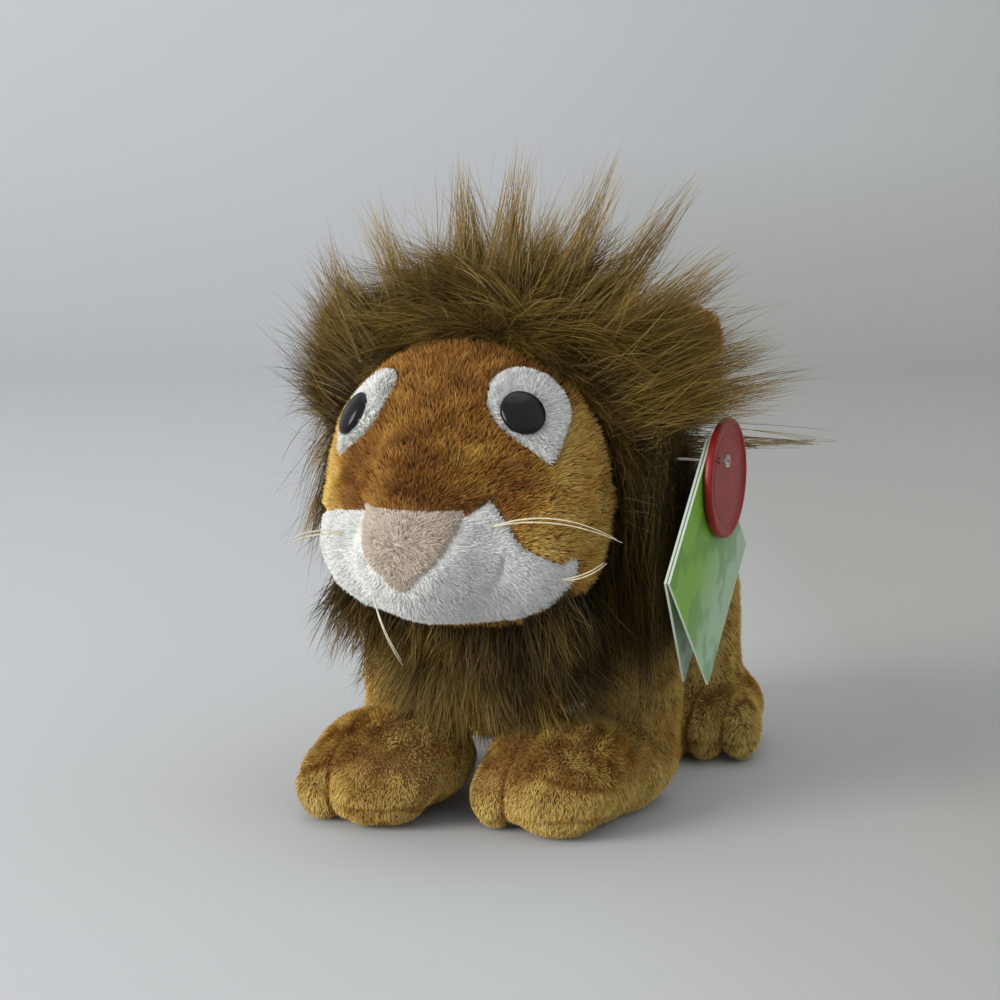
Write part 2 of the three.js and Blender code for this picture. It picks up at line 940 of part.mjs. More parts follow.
function manePanel(fromClock, toClock, columns, locks) {
  const outer = [];
  const inner = [];
  for (let i = 0; i <= maneRows; i += 1) {
    const outerRow = [];
    const innerRow = [];
    for (let j = 0; j <= columns; j += 1) {
      const clock = fromClock + ((toClock - fromClock) * j) / columns;
      const front = maneFront(clock);
      const rake = front + ((maneBackAngle - front) * i) / maneRows;
      const direction = maneDirection(clock, rake);
      const base = reachTo(headForm, middle, direction, seamGap + 2 * facetRoom);
      innerRow.push(direction.clone().multiplyScalar(base));
      outerRow.push(direction.clone().multiplyScalar(maneReach(clock, rake)));
    }
    outer.push(outerRow);
    inner.push(innerRow);
  }
  return locks
    .map(([clock, rake, lengthShare, droopShare]) =>
      lock(clock, rake, lengthShare * lockLength, droopShare * lockLength),
    )
    .reduce((a, b) => a.add(b), thickPatch(outer, inner))
    .intersect(clockHalf(fromClock, 1))
    .intersect(clockHalf(toClock, -1));
}
const crownLocks = [
  [-26, 8, 1.1, 0],
  [-10, 16, 0.9, 0],
  [6, 8, 1.2, 0],
  [20, 16, 1.2, 0],
  [29, 30, 1.4, 0],
  [-20, 36, 0.9, 0.1],
  [3, 34, 0.9, 0.1],
  [18, 50, 0.9, 0.2],
  [-12, 62, 0.8, 0.3],
  [12, 68, 0.7, 0.3],
];
const leftLocks = [
  [44, 20, 1.1, 0.1],
  [42, 38, 1.3, 0.1],
  [60, 30, 1.2, 0.2],
  [58, 56, 1, 0.2],
  [68, 38, 1.7, 0.2],
  [82, 42, 2.2, 0.4],
  [92, 40, 1.4, 0.5],
  [90, 60, 0.8, 0.3],
];
const rightLocks = [
  [-41, 6, 1.3, 0],
  [-56, 16, 1.1, 0.1],
  [-68, 8, 1.2, 0.1],
  [-84, 10, 1, 0.3],
  [-98, 4, 0.8, 0.5],
  [-46, 38, 0.9, 0.2],
  [-70, 36, 0.9, 0.3],
  [-60, 60, 0.8, 0.3],
];
const pinBore = rod(
  pinRadius + seamGap,
  0,
  overrun,
  boreSides,
  point(0, tagHoleY - headCentreY, tagHoleZ - headCentreZ),
  point(1, 0, 0),
);
const tagRoom = block("x", tagX - 2 * pinSlack, 1)
  .intersect(block("z", tagHoleZ - headCentreZ + 2 * tagHoleInset, -1))
  .intersect(block("y", tagHoleY - headCentreY + tagRoomBack, -1));
const manePanels = {
  mane_crown: manePanel(-crownAngle, crownAngle, crownColumns, crownLocks),
  mane_left: manePanel(crownAngle, throatAngle, sideColumns, leftLocks)
    .subtract(earSweep(ears[1]))
    .subtract(pinBore)
    .subtract(tagRoom),
  mane_right: manePanel(
    -throatAngle,
    -crownAngle,
    sideColumns,
    rightLocks,
  ).subtract(earSweep(ears[0])),
  mane_throat: manePanel(
    throatAngle,
    fullTurn - throatAngle,
    throatColumns,
    [],
  ).subtract(headNeckHole),
};
Object.entries(manePanels).forEach(([name, solid]) => {
  head.add(named(name, solid, maneFur()));
});

// Whiskers: bent filaments that start on the muzzle; places are shares of the head's half sizes
const headHalves = point(headHalfWidth, headHalfDepth, headHalfHeight);
const whiskerShares = {
  whisker_left_upper: [
    [0.52, -1.02, -0.19],
    [0.95, -1.02, -0.02],
    [1.3, -0.8, -0.22],
  ],
  whisker_left_lower: [
    [0.76, -0.55, -0.5],
    [0.98, -0.62, -0.52],
    [1.16, -0.62, -0.4],
  ],
  whisker_right_upper: [
    [-0.56, -0.98, -0.28],
    [-0.8, -1.1, -0.26],
    [-0.96, -0.92, -0.36],
  ],
  whisker_right_lower: [
    [-0.3, -1.2, -0.62],
    [-0.2, -1.24, -0.86],
    [-0.06, -1.12, -1.05],
  ],
};
Object.entries(whiskerShares).forEach(([name, shares]) => {
  const places = shares.map((share) => point(...share).multiply(headHalves));
  const direction = places[0].clone().normalize();
  const reach = reachTo(headForm, middle, direction, 0) - whiskerSunk;
  const shift = direction.clone().multiplyScalar(reach).sub(places[0]);
  const curve = new THREE.QuadraticBezierCurve3(
    ...places.map((p, i) => p.addScaledVector(shift, 1 - i / 2)),
  );
  const section = new THREE.Shape();
  section.absarc(0, 0, whiskerRadius, 0, 2 * Math.PI);
  const geometry = new THREE.ExtrudeGeometry(section, {
    steps: edgeSegments,
    curveSegments: lockSteps,
    extrudePath: curve,
  });
  const whisker = solidOf(geometry).subtract(headBall(seamGap));
  head.add(named(name, whisker, cream()));
});

// Legs: a shared form, measured from the middle of the seam that the leg swings about
function legForm(side, leg) {
  const floor = -leg.seam.z;
  const stride = -side * leg.stride;
  const at = (out, y, z) => point(side * out, y, z);
  const swells = [
    swell(at(leg.thigh.out, 0, 0), leg.thigh.halves),
    swell(at(leg.shank.out, leg.shank.y, -leg.shank.drop), leg.shank.halves),
    swell(
      at(leg.heel.out, leg.heel.y, floor + leg.heel.halves.z - soleFlat),
      leg.heel.halves,
    ),
    swell(
      at(
        leg.paw.out,
        leg.paw.y - stride,
        floor + leg.paw.halves.z - soleFlat,
      ),
      leg.paw.halves,
    ),
  ];
  const soleOut = (leg.heel.out + leg.paw.out) / 2;
  const soleY = (leg.heel.y + leg.paw.y - stride) / 2;
  swells.push(swell(at(soleOut, soleY, floor + leg.sole.z - soleFlat), leg.sole));
  const { toe } = leg;
  const toes = [];
  for (let i = 0; i < toe.count; i += 1) {
    const place = i - (toe.count - 1) / 2;
    const out = leg.paw.out + place * toe.pitch;
    const y = leg.paw.y - stride - toe.forward + toe.curve * place * place;
    toes.push(swell(at(out, y, floor + toe.halves.z - soleFlat), toe.halves));
  }
  const limb = blended(swells, legBlend);
  return blended([limb, ...toes], toe.blend);
}
// The spine is nearly upright, so that the rings across it stay clear of each other.
function legSpine(side, leg) {
  const floor = -leg.seam.z;
  const { out, y } = leg.core;
  const pawHeight = leg.paw.halves.z;
  return [
    point(side * leg.thigh.out, y / 2, leg.thigh.halves.z * spineTopShare),
    point(side * out, y, -leg.shank.drop),
    point(side * out, y, floor + pawHeight),
    point(side * out, y, floor + pawHeight * spineEndShare),
  ];
}
const foreLeg = {
  name: "front_leg",
  seam: point(shoulderSeamX, shoulderY, shoulderZ),
  room: shoulderRoom,
  core: { out: foreSpineOut, y: -foreSpineForward },
  innerDrop: shoulderInnerDrop,
  sole: point(soleHalfWidth, foreSoleHalfDepth, soleHalfHeight),
  stride: foreStride,
  thigh: {
    out: shoulderOut,
    halves: point(shoulderHalfWidth, shoulderRadius, shoulderRadius),
  },
  shank: {
    out: foreLegOut,
    y: foreLegBack,
    drop: foreLegDrop,
    halves: point(foreLegHalfWidth, foreLegHalfDepth, foreLegHalfHeight),
  },
  heel: {
    out: foreHeelOut,
    y: -foreHeelForward,
    halves: point(foreHeelHalfWidth, foreHeelHalfDepth, foreHeelHalfHeight),
  },
  paw: {
    out: forePawOut,
    y: -forePawForward,
    halves: point(forePawHalfWidth, forePawHalfDepth, forePawHalfHeight),
  },
  toe: {
    count: foreToeCount,
    pitch: foreToePitch,
    forward: foreToeForward,
    curve: foreToeCurve,
    blend: foreToeBlend,
    halves: point(foreToeHalfWidth, foreToeHalfDepth, foreToeHalfHeight),
  },
};
const hindLeg = {
  name: "hind_leg",
  seam: point(haunchSeamX, haunchY, haunchZ),
  room: haunchRoom,
  core: { out: hindSpineOut, y: hindSpineBack },
  innerDrop: haunchInnerDrop,
  sole: point(soleHalfWidth, hindSoleHalfDepth, soleHalfHeight),
  stride: hindStride,
  thigh: {
    out: haunchOut,
    halves: point(haunchHalfWidth, haunchHalfDepth, haunchHalfHeight),
  },
  shank: {
    out: hindLegOut,
    y: 0,
    drop: hindLegDrop,
    halves: point(hindLegHalfWidth, hindLegHalfDepth, hindLegHalfHeight),
  },
  heel: {
    out: hindHeelOut,
    y: hindHeelBack,
    halves: point(hindHeelHalfWidth, hindHeelHalfDepth, hindHeelHalfHeight),
  },
  paw: {
    out: hindPawOut,
    y: -hindPawForward,
    halves: point(hindPawHalfWidth, hindPawHalfDepth, hindPawHalfHeight),
  },
  toe: {
    count: hindToeCount,
    pitch: hindToePitch,
    forward: hindToeForward,
    curve: hindToeCurve,
    blend: hindToeBlend,
    halves: point(hindToeHalfWidth, hindToeHalfDepth, hindToeHalfHeight),
  },
};
const legs = [foreLeg, hindLeg].flatMap((leg) =>
  [-1, 1].map((side) => {
    const form = legForm(side, leg);
    const spine = legSpine(side, leg);
    const seam = point(side * leg.seam.x, leg.seam.y, leg.seam.z);
    return { leg, side, form, spine, seam };
  }),
);
function legGeometry({ form, spine }, offset) {
  return spineForm(form, spine, offset, legRings, legSides);
}

// The round pocket that a leg sits in at the torso's side, grown by a wall that stays round it
function legPocket({ leg, side, seam }, wall) {
  const start = seam.clone();
  start.x -= side * wall;
  const outwards = point(side, 0, 0);
  return rod(leg.room + wall, 0, overrun, pocketSides, start, outwards);
}

// The room that a front leg takes up behind the ruff as it swings
function legRoom(limb) {
  const { side, seam } = limb;
  return block("x", seam.x, side)
    .intersect(block("y", seam.y - ruffLegRoom, 1))
    .intersect(block("z", seam.z, -1))
    .add(legPocket(limb, 0));
}
const collarBall = (grow) =>
  sphere(headCentre, collarRadius + grow, collarRings, collarSides);

const lion = new THREE.Group();
const pivots = {};
legs.forEach((limb) => {
  const { leg, side, seam } = limb;
  const label = side > 0 ? "left" : "right";
  const group = new THREE.Group();
  group.position.copy(seam);
  const beyondSeam = block("x", side * seamGap, -side).intersect(
    block("z", -leg.innerDrop, 1),
  );
  const floorUp = (height) => block("z", height - seam.z, 1);
  const inside = (gap) =>
    solidOf(legGeometry(limb, -skinThickness - gap)).intersect(
      floorUp(skinThickness + gap),
    );
  const outer = solidOf(legGeometry(limb, 0))
    .intersect(floorUp(0))
    .subtract(beyondSeam);
  const skin = outer.subtract(inside(0));
  const stuffing = inside(seamGap).subtract(beyondSeam);
  group.add(named(leg.name + "_skin_" + label, skin, tanPlush()));
  group.add(named(leg.name + "_stuffing_" + label, stuffing, fibre()));
  lion.add(group);
  pivots[leg.name + "_" + label] = seam;
});

// Torso: cut by the collar, the legs and the dish that the tail sits in
const torsoForm = blended(
  [
    swell(
      point(0, chestY, chestZ),
      point(chestHalfWidth, chestHalfDepth, chestHalfHeight),
    ),
    swell(
      point(0, torsoCentreY, bellyZ),
      point(bellyHalfWidth, bellyHalfDepth, bellyHalfHeight),
    ),
    swell(
      point(0, rumpY, rumpZ),
      point(rumpHalfWidth, rumpHalfDepth, rumpHalfHeight),
    ),
  ],
  torsoBlend,
);
const torsoCentre = point(0, torsoCentreY, torsoCentreZ);
const torsoBody = (offset) =>
  solidOf(roundForm(torsoForm, torsoCentre, offset, torsoRings, torsoSides));
const tailAim = point(
  0,
  rumpY + rumpHalfDepth - torsoCentreY,
  tailRootZ - torsoCentreZ,
).normalize();
const tailPivot = torsoCentre
  .clone()
  .addScaledVector(
    tailAim,
    reachTo(torsoForm, torsoCentre, tailAim, 0) + tailSeat,
  );
const tailDish = (grow) =>
  sphere(
    tailPivot,
    tailRadius + seamGap + facetRoom + grow,
    ballRings,
    ballSides,
  );
const plugRoomAngle =
  Math.asin(plugRadius / collarRadius) +
  degrees(headTurnRange) +
  facetRoom / plugRadius;
const torsoNeckHole = neckCone(
  plugInnerReach,
  Math.hypot(plugOuterReach, plugRadius) + seamGap + facetRoom,
  plugRoomAngle,
  headCentre,
);
const carved = (solid, wall) =>
  legs
    .reduce((a, limb) => a.subtract(legPocket(limb, wall)), solid)
    .subtract(collarBall(wall))
    .subtract(tailDish(wall));
const torsoOuter = carved(torsoBody(0), 0);
const torsoInside = (gap) =>
  carved(torsoBody(-skinThickness - gap), skinThickness + gap);
const torsoSkin = torsoOuter.subtract(torsoInside(0)).subtract(torsoNeckHole);
const torsoStuffing = torsoInside(seamGap).subtract(torsoNeckHole);
lion.add(named("torso_skin", torsoSkin, tanPlush()));
lion.add(named("torso_stuffing", torsoStuffing, fibre()));

// Chest ruff: long pile over the front of the chest, under the collar
const ruffCentre = point(0, ruffBack - ruffDepth, ruffTop - ruffHeight);
const ruffForm = swell(
  ruffCentre,
  point(ruffHalfWidth, ruffDepth, ruffHeight),
);
const ruffSwell = solidOf(
  roundForm(ruffForm, ruffCentre, 0, ruffRings, ruffSides),
);
const ruff = legs
  .filter((limb) => limb.leg === foreLeg)
  .reduce((a, limb) => a.subtract(legRoom(limb)), ruffSwell)
  .subtract(collarBall(seamGap + facetRoom))
  .subtract(torsoBody(seamGap))
  .intersect(block("z", ruffFloor, 1));
lion.add(named("chest_ruff", ruff, maneFur()));

// Neck: the fibre plug between the torso and the head
const neck = new THREE.Group();
neck.position.copy(headCentre);
const plug = rod(
  plugRadius,
  plugInnerReach,
  plugOuterReach - plugInnerReach,
  roundSides,
  middle,
  neckLine,
);
neck.add(named("neck_stuffing", plug, fibre()));

// Tail: a ball end in the torso's dish, a bent tube, and a tuft of long pile
const tail = new THREE.Group();
tail.position.copy(tailPivot);
const tailCurve = new THREE.CatmullRomCurve3([
  middle,
  point(0, tailReach / 2, tailRadius / 2),
  point(0, tailReach, -tailDropLength / 3),
  point(0, tailReach, -tailDropLength),
]);
const tailSection = new THREE.Shape();
tailSection.absarc(0, 0, tailRadius, 0, 2 * Math.PI);
const tailTube = new THREE.ExtrudeGeometry(tailSection, {
  steps: curveSteps,
  curveSegments: edgeSegments,
  extrudePath: tailCurve,
});
const tailSkin = solidOf(tailTube).add(
  sphere(middle, tailRadius, ballRings, ballSides),
);
tail.add(named("tail", tailSkin, tanPlush()));
const tuftTop = tailCurve.getPoint(1);
const tuft = turned(
  [
    [0, seamGap],
    [tailRadius, seamGap],
    [tuftRadius, tuftLength / 4],
    [tuftRadius, tuftLength / 2],
    [tuftRadius / 3, (tuftLength * 3) / 4],
    [0, tuftLength],
  ],
  ballSides,
  tuftTop,
  point(0, 0, -1),
);
tail.add(named("tail_tuft", tuft, maneFur()));

// Hang tag: the pin runs along X from the side of the head, and the leaves and the disc hang on it
const pinPlace = point(
  tagX,
  tagHoleY - headCentreY,
  tagHoleZ - headCentreZ,
);
const sideways = point(1, 0, 0);
const pinStart = reachTo(
  headForm,
  point(0, pinPlace.y, pinPlace.z),
  sideways,
  seamGap,
);
const pinEnd = tagX + pinSlack;
const pin = turned(
  [
    [0, pinStart],
    [pinRadius, pinStart],
    [pinRadius, pinEnd],
    [pinHeadRadius, pinEnd],
    [pinHeadRadius, pinEnd + pinHeadThickness],
    [0, pinEnd + pinHeadThickness],
  ],
  boreSides,
  point(0, pinPlace.y, pinPlace.z),
  sideways,
);
head.add(named("tag_pin", pin, whitePlastic()));

const halfDiagonal = tagSide / Math.SQRT2;
function leafGeometry() {
  const shape = new THREE.Shape([
    new THREE.Vector2(0, tagHoleInset),
    new THREE.Vector2(-halfDiagonal, tagHoleInset - halfDiagonal),
    new THREE.Vector2(0, tagHoleInset - 2 * halfDiagonal),
    new THREE.Vector2(halfDiagonal, tagHoleInset - halfDiagonal),
  ]);
  const hole = new THREE.Path();
  hole.absarc(0, 0, tagHoleRadius, 0, 2 * Math.PI, true);
  shape.holes.push(hole);
  const geometry = new THREE.ExtrudeGeometry(shape, {
    depth: tagThickness,
    bevelEnabled: false,
    curveSegments: edgeSegments,
  });
  geometry.rotateX(Math.PI / 2);
  geometry.rotateZ(Math.PI / 2);
  return geometry;
}
const foldAxis = point(0, 1, 1).normalize();
const foldPlace = point(0, 0, tagHoleInset);
const tag = new THREE.Group();
tag.position.copy(pinPlace).add(headCentre);
const backLeaf = leafGeometry();
backLeaf.translate(-tagThickness - seamGap, 0, 0);
const leafTurn = new THREE.Matrix4()
  .makeTranslation(foldPlace.x, foldPlace.y, foldPlace.z)
  .multiply(
    new THREE.Matrix4().makeRotationAxis(foldAxis, degrees(tagRestAngle)),
  )
  .multiply(
    new THREE.Matrix4().makeTranslation(-foldPlace.x, -foldPlace.y, -foldPlace.z),
  );
backLeaf.applyMatrix4(leafTurn);
tag.add(named("tag_back_leaf", solidOf(backLeaf), mintCard()));
tag.add(named("tag_front_leaf", solidOf(leafGeometry()), greenCard()));

const discShape = new THREE.Shape();
discShape.absarc(0, 0, discRadius, 0, 2 * Math.PI);
const discHole = new THREE.Path();
discHole.absarc(-discHoleBack, discHoleDrop, discHoleRadius, 0, 2 * Math.PI, true);
discShape.holes.push(discHole);
const discPlate = new THREE.ExtrudeGeometry(discShape, {
  depth: discThickness,
  bevelEnabled: false,
  curveSegments: discSegments,
});
const dishFace = new THREE.CylinderGeometry(
  discRadius - discRim,
  discRadius - discRim,
  2 * discDish,
  2 * discSegments,
);
dishFace.rotateX(Math.PI / 2);
dishFace.translate(0, 0, discThickness);
const discSolid = solidOf(discPlate).subtract(solidOf(dishFace));
const disc = named("red_disc", discSolid, redPlastic());
disc.rotation.set(Math.PI / 2, Math.PI / 2, 0);
disc.position.set(discOff, discHoleBack, -discHoleDrop);
tag.add(disc);

lion.add(head, neck, tail, tag);
const box = new THREE.Box3().setFromObject(lion, true);
lion.position.set(
  -(box.min.x + box.max.x) / 2,
  -(box.min.y + box.max.y) / 2,
  -box.min.z,
);

// The places that the moving pieces turn about, in the part's own frame
pivots.head = headCentre;
pivots.tail = tailPivot;
pivots.tag_pin = pinPlace.clone().add(headCentre);
pivots.tag_fold = foldPlace.clone().add(pivots.tag_pin);
ears.forEach((ear) => {
  pivots["ear_" + (ear.side > 0 ? "left" : "right")] = ear.root
    .clone()
    .add(headCentre);
});
const part = new THREE.Group();
part.add(lion);
Object.values(pivots).forEach((pivot) => pivot.add(lion.position));
part.userData.pivots = pivots;
part.userData.earAxes = ears.map((ear) => ear.width);
export default part;
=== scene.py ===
# A stuffed plush lion with a long mane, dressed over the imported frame
import functools
import json
import math
import bpy
import numpy as np
from mathutils import Matrix, Vector


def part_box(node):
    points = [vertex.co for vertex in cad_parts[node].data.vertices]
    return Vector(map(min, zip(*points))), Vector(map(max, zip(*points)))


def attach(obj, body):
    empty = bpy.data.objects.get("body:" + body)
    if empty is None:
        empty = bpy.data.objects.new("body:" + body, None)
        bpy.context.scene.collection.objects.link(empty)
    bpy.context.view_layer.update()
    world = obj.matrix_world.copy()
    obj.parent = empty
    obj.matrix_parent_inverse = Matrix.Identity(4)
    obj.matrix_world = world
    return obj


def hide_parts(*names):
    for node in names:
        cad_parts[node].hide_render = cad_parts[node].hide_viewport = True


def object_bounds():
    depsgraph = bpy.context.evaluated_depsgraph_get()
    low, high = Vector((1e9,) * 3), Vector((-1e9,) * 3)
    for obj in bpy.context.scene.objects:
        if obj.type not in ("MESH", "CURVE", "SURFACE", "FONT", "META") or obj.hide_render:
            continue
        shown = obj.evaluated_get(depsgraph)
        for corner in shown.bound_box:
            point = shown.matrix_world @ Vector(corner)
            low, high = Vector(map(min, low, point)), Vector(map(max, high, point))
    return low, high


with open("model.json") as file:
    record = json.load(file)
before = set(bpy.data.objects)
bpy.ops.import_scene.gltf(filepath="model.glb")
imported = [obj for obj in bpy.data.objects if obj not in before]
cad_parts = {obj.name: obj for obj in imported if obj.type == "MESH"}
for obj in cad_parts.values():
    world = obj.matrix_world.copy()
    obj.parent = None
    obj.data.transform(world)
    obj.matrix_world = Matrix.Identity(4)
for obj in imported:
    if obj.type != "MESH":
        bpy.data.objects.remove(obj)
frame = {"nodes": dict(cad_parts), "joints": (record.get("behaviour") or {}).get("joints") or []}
cad_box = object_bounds()
joints = {joint["name"]: joint for joint in frame["joints"]}

# Modelling is done in millimetres with the lion's middle at x 0, and add_piece shifts it into the frame.
# GAP is the room between bodies, and BASE how far the backing cloth lies under the CAD surface
HEAD = np.array((0.0, -60.0, 115.0))
SHIFT = np.array(joints["head_turn"]["pos_m"]) * 1000 - HEAD
GAP = 0.3
BASE = 1.6

# Sizes of the forms, as in the part
HEAD_HALVES = (49, 46, 49)
SNOUT = ((0, -27, -18), (27, 36, 25))
BRIDGE = ((0, -24, 1), (21, 31, 23))
CHEEK = ((22, -13, -18), (25, 30, 25))
HEAD_BLEND = 9
COLLAR = 57
CHEST = ((0, -20, 66), (36, 38, 34))
BELLY = ((0, 16, 63), (38, 60, 36))
RUMP = ((0, 52, 63), (41, 38, 39))
TORSO_BLEND = 12
SOLE_DROP = 0.5
LEG_BLEND = 7
FRONT = dict(
    seam=(24, -18, 57), room=25, drop=24, stride=6,
    thigh=(14, 0, 0, (20, 22, 22)), shank=(19, -2, 20, (17, 18, 30)),
    heel=(18, -9, (18, 22, 16)), paw=(5, -39, (28, 33, 18)), sole=(15, 32, 7),
    lobes=((-16, 19, (10.5, 13, 12.5)), (4.5, 20, (20, 16, 15))), lobe_blend=5, folds=1,
)
HIND = dict(
    seam=(23, 60, 58), room=36, drop=38, stride=0,
    thigh=(11, 0, 0, (20, 32, 33)), shank=(17, 0, 24, (16, 22, 30)),
    heel=(19, 12, (18, 21, 15)), paw=(22, -4, (21, 26, 15.5)), sole=(15, 26, 7),
    lobes=[(x, y, (7.4, 12, 12.5)) for x, y in ((-17.3, 11.4), (-5.8, 16.4), (5.8, 16.4), (17.3, 11.4))],
    lobe_blend=3, folds=0,
)
RUFF = ((0, -49, 60), (43, 23, 24))
RUFF_FLOOR = 45
RUFF_LEG_ROOM = 28
MUZZLE = np.array((
    (-1.1, -0.26), (-0.7, -0.15), (-0.34, -0.1), (0, -0.06), (0.34, -0.1), (0.45, 0), (0.66, -0.3),
    (0.84, -0.43), (1.1, -0.26), (1.1, -0.8), (0.6, -1.2), (-0.6, -1.2), (-1.1, -0.8),
)) * 49
NOSE_HALF = 16
NOSE_TOP = -3
NOSE_LOW = -29
NOSE_ROUND = 6
PANEL_BACK = -15
PANEL_SLOPE = 0.35
MOUTH = ((27, -19), (25.5, -24), (22, -28))
EYE_AIM = (28, -27.6, 24)
EYE_UNEVEN = 1.7
EYE_RADIUS = 7.6
PATCH_RADIUS = 13.6
PATCH_TIP_RADIUS = 1.4
PATCHES = dict(left=(4.3, 3.9, (2.9, -18.3), 1), right=(-1.2, 4.4, (5.2, -16), 1.3))
EYE_BASE = 0.3
EYE_RISE = 3.3
EAR_LENGTH = 47
EAR_HALF_WIDTH = 15
EAR_HALF_THICKNESS = 3.4
EAR_CUP = 2.2
EAR_LEAN = 57
EAR_BACK = 26
TAIL_RADIUS = 6
TAIL_DROP = 46
TAIL_REACH = 30
TAG_HOLE = (-43, 123.5)
SIDES = ((-1, "right"), (1, "left"))


def joint_place(name):
    return np.array(joints[name]["pos_m"]) * 1000 - SHIFT


# Camera: an 81 mm lens 0.75 m from the head, turned 23 degrees round it and 8.5 degrees above it
CAMERA_TURN = 23
CAMERA_RISE = 8.5
CAMERA_DISTANCE = 0.75
CAMERA_LENS = 81
CAMERA_OFFSET = (0.00833, 0.00667)
turn = math.radians(CAMERA_TURN)
rise = math.radians(CAMERA_RISE)
right = Vector((math.cos(turn), math.sin(turn), 0))
back = Vector((math.sin(turn) * math.cos(rise), -math.cos(turn) * math.cos(rise), math.sin(rise)))
up = back.cross(right)
camera_data = bpy.data.cameras.new("camera")
camera = bpy.data.objects.new("camera", camera_data)
bpy.context.scene.collection.objects.link(camera)
camera_data.lens = CAMERA_LENS
head_place = Vector(joints["head_turn"]["pos_m"])
camera_place = head_place + right * CAMERA_OFFSET[0] - up * CAMERA_OFFSET[1] + back * CAMERA_DISTANCE
camera.matrix_world = Matrix.Translation(camera_place) @ Matrix((right, up, back)).transposed().to_4x4()
bpy.context.scene.camera = camera
bpy.context.scene.view_settings.view_transform = "Standard"


# Forms as signed distances
def norm(v):
    return np.linalg.norm(v, axis=-1)


def unit(v):
    return v / np.maximum(norm(v)[..., None], 1e-9)


def meet(*values):
    """What several forms have in common."""
    return functools.reduce(np.maximum, values)


def ellipsoid(centre, halves):
    centre = np.asarray(centre, float)
    halves = np.asarray(halves, float)

    def distance(p):
        q = (p - centre) / halves
        near = norm(q)
        slope = norm(q / halves)
        return near * (near - 1) / np.maximum(slope, 1e-9)

    return distance


def soft_min(a, b, blend):
    h = np.maximum(blend - np.abs(a - b), 0) / blend
    return np.minimum(a, b) - h * h * blend / 4


def blended(forms, blend):
    def distance(p):
        value = forms[0](p)
        for form in forms[1:]:
            value = soft_min(value, form(p), blend)
        return value

    return distance


def gradient(form, p):
    step = 0.05
    here = form(p)
    slopes = [(form(p + step * axis) - here) / step for axis in np.eye(3)]
    return here, np.stack(slopes, -1)


def normals_at(form, p):
    return unit(gradient(form, p)[1])


def ridge(value):
    """1 where the value is 0, and falling off on both sides."""
    return np.exp(-value ** 2)


def bezier(start, control, end, t):
    return (1 - t) ** 2 * start + 2 * t * (1 - t) * control + t ** 2 * end


def surface_reach(form, start, aims, far=150.0, steps=26):
    """How far each aim goes from the start before it leaves the form."""
    near, far = np.zeros(len(aims)), np.full(len(aims), far)
    for _ in range(steps):
        middle = (near + far) / 2
        inside = form(start + aims * middle[:, None]) < 0
        near, far = np.where(inside, middle, near), np.where(inside, far, middle)
    return near


def ramp(value):
    """A smooth step from 0 to 1."""
    t = np.clip(value, 0, 1)
    return t * t * (3 - 2 * t)


def waves(p, size, seed):
    """A smooth random field between about -1 and 1, with features of that size."""
    count = 14
    own = np.random.default_rng(seed)
    aims = unit(own.normal(size=(count, 3))) * own.uniform(0.6, 1.5, (count, 1))
    phases = own.uniform(0, 2 * math.pi, count)
    return np.cos(p @ aims.T * (math.pi / size) + phases).sum(-1) / math.sqrt(count) / 1.4


# Meshes from forms: one point in every grid cell that the surface crosses, moved onto the surface
def net(form, low, high, step):
    low = np.asarray(low, float)
    counts = np.ceil((np.asarray(high, float) - low) / step).astype(int) + 1
    lines = [low[i] + step * np.arange(counts[i]) for i in range(3)]
    grid = np.stack(np.meshgrid(*lines, indexing="ij"), -1).reshape(-1, 3)
    inside = (form(grid) < 0).reshape(counts)
    total = sum(
        inside[a:counts[0] - 1 + a, b:counts[1] - 1 + b, c:counts[2] - 1 + c].astype(int)
        for a in (0, 1) for b in (0, 1) for c in (0, 1)
    )
    mixed = (total > 0) & (total < 8)
    index = np.full(mixed.shape, -1)
    index[mixed] = np.arange(mixed.sum())
    points = low + step * (np.argwhere(mixed) + 0.5)
    for _ in range(5):
        value, slope = gradient(form, points)
        move = slope * (value / np.maximum((slope ** 2).sum(-1), 0.1))[:, None]
        size = np.linalg.norm(move, axis=-1, keepdims=True)
        points = points - move * np.minimum(1, 0.5 * step / np.maximum(size, 1e-9))
    quads = []
    steps = np.eye(3, dtype=int)
    for axis in range(3):
        a, b = steps[(axis + 1) % 3], steps[(axis + 2) % 3]
        edges = np.argwhere(np.diff(inside, axis=axis))
        edges = edges[np.all((edges > 0) & (edges < counts - 1) | (steps[axis] > 0), axis=1)]
        quad = np.stack([index[tuple((edges + move).T)] for move in (-a - b, -b, 0 * a, -a)], -1)
        backward = ~inside[tuple(edges.T)]
        quad[backward] = quad[backward][:, ::-1]
        quads.append(quad)
    return points, np.concatenate(quads)


def part_of(points, faces, keep):
    """The faces that are kept, with only the points that they use."""
    faces = faces[keep]
    used, fresh = np.unique(faces, return_inverse=True)
    return points[used], fresh.reshape(faces.shape)


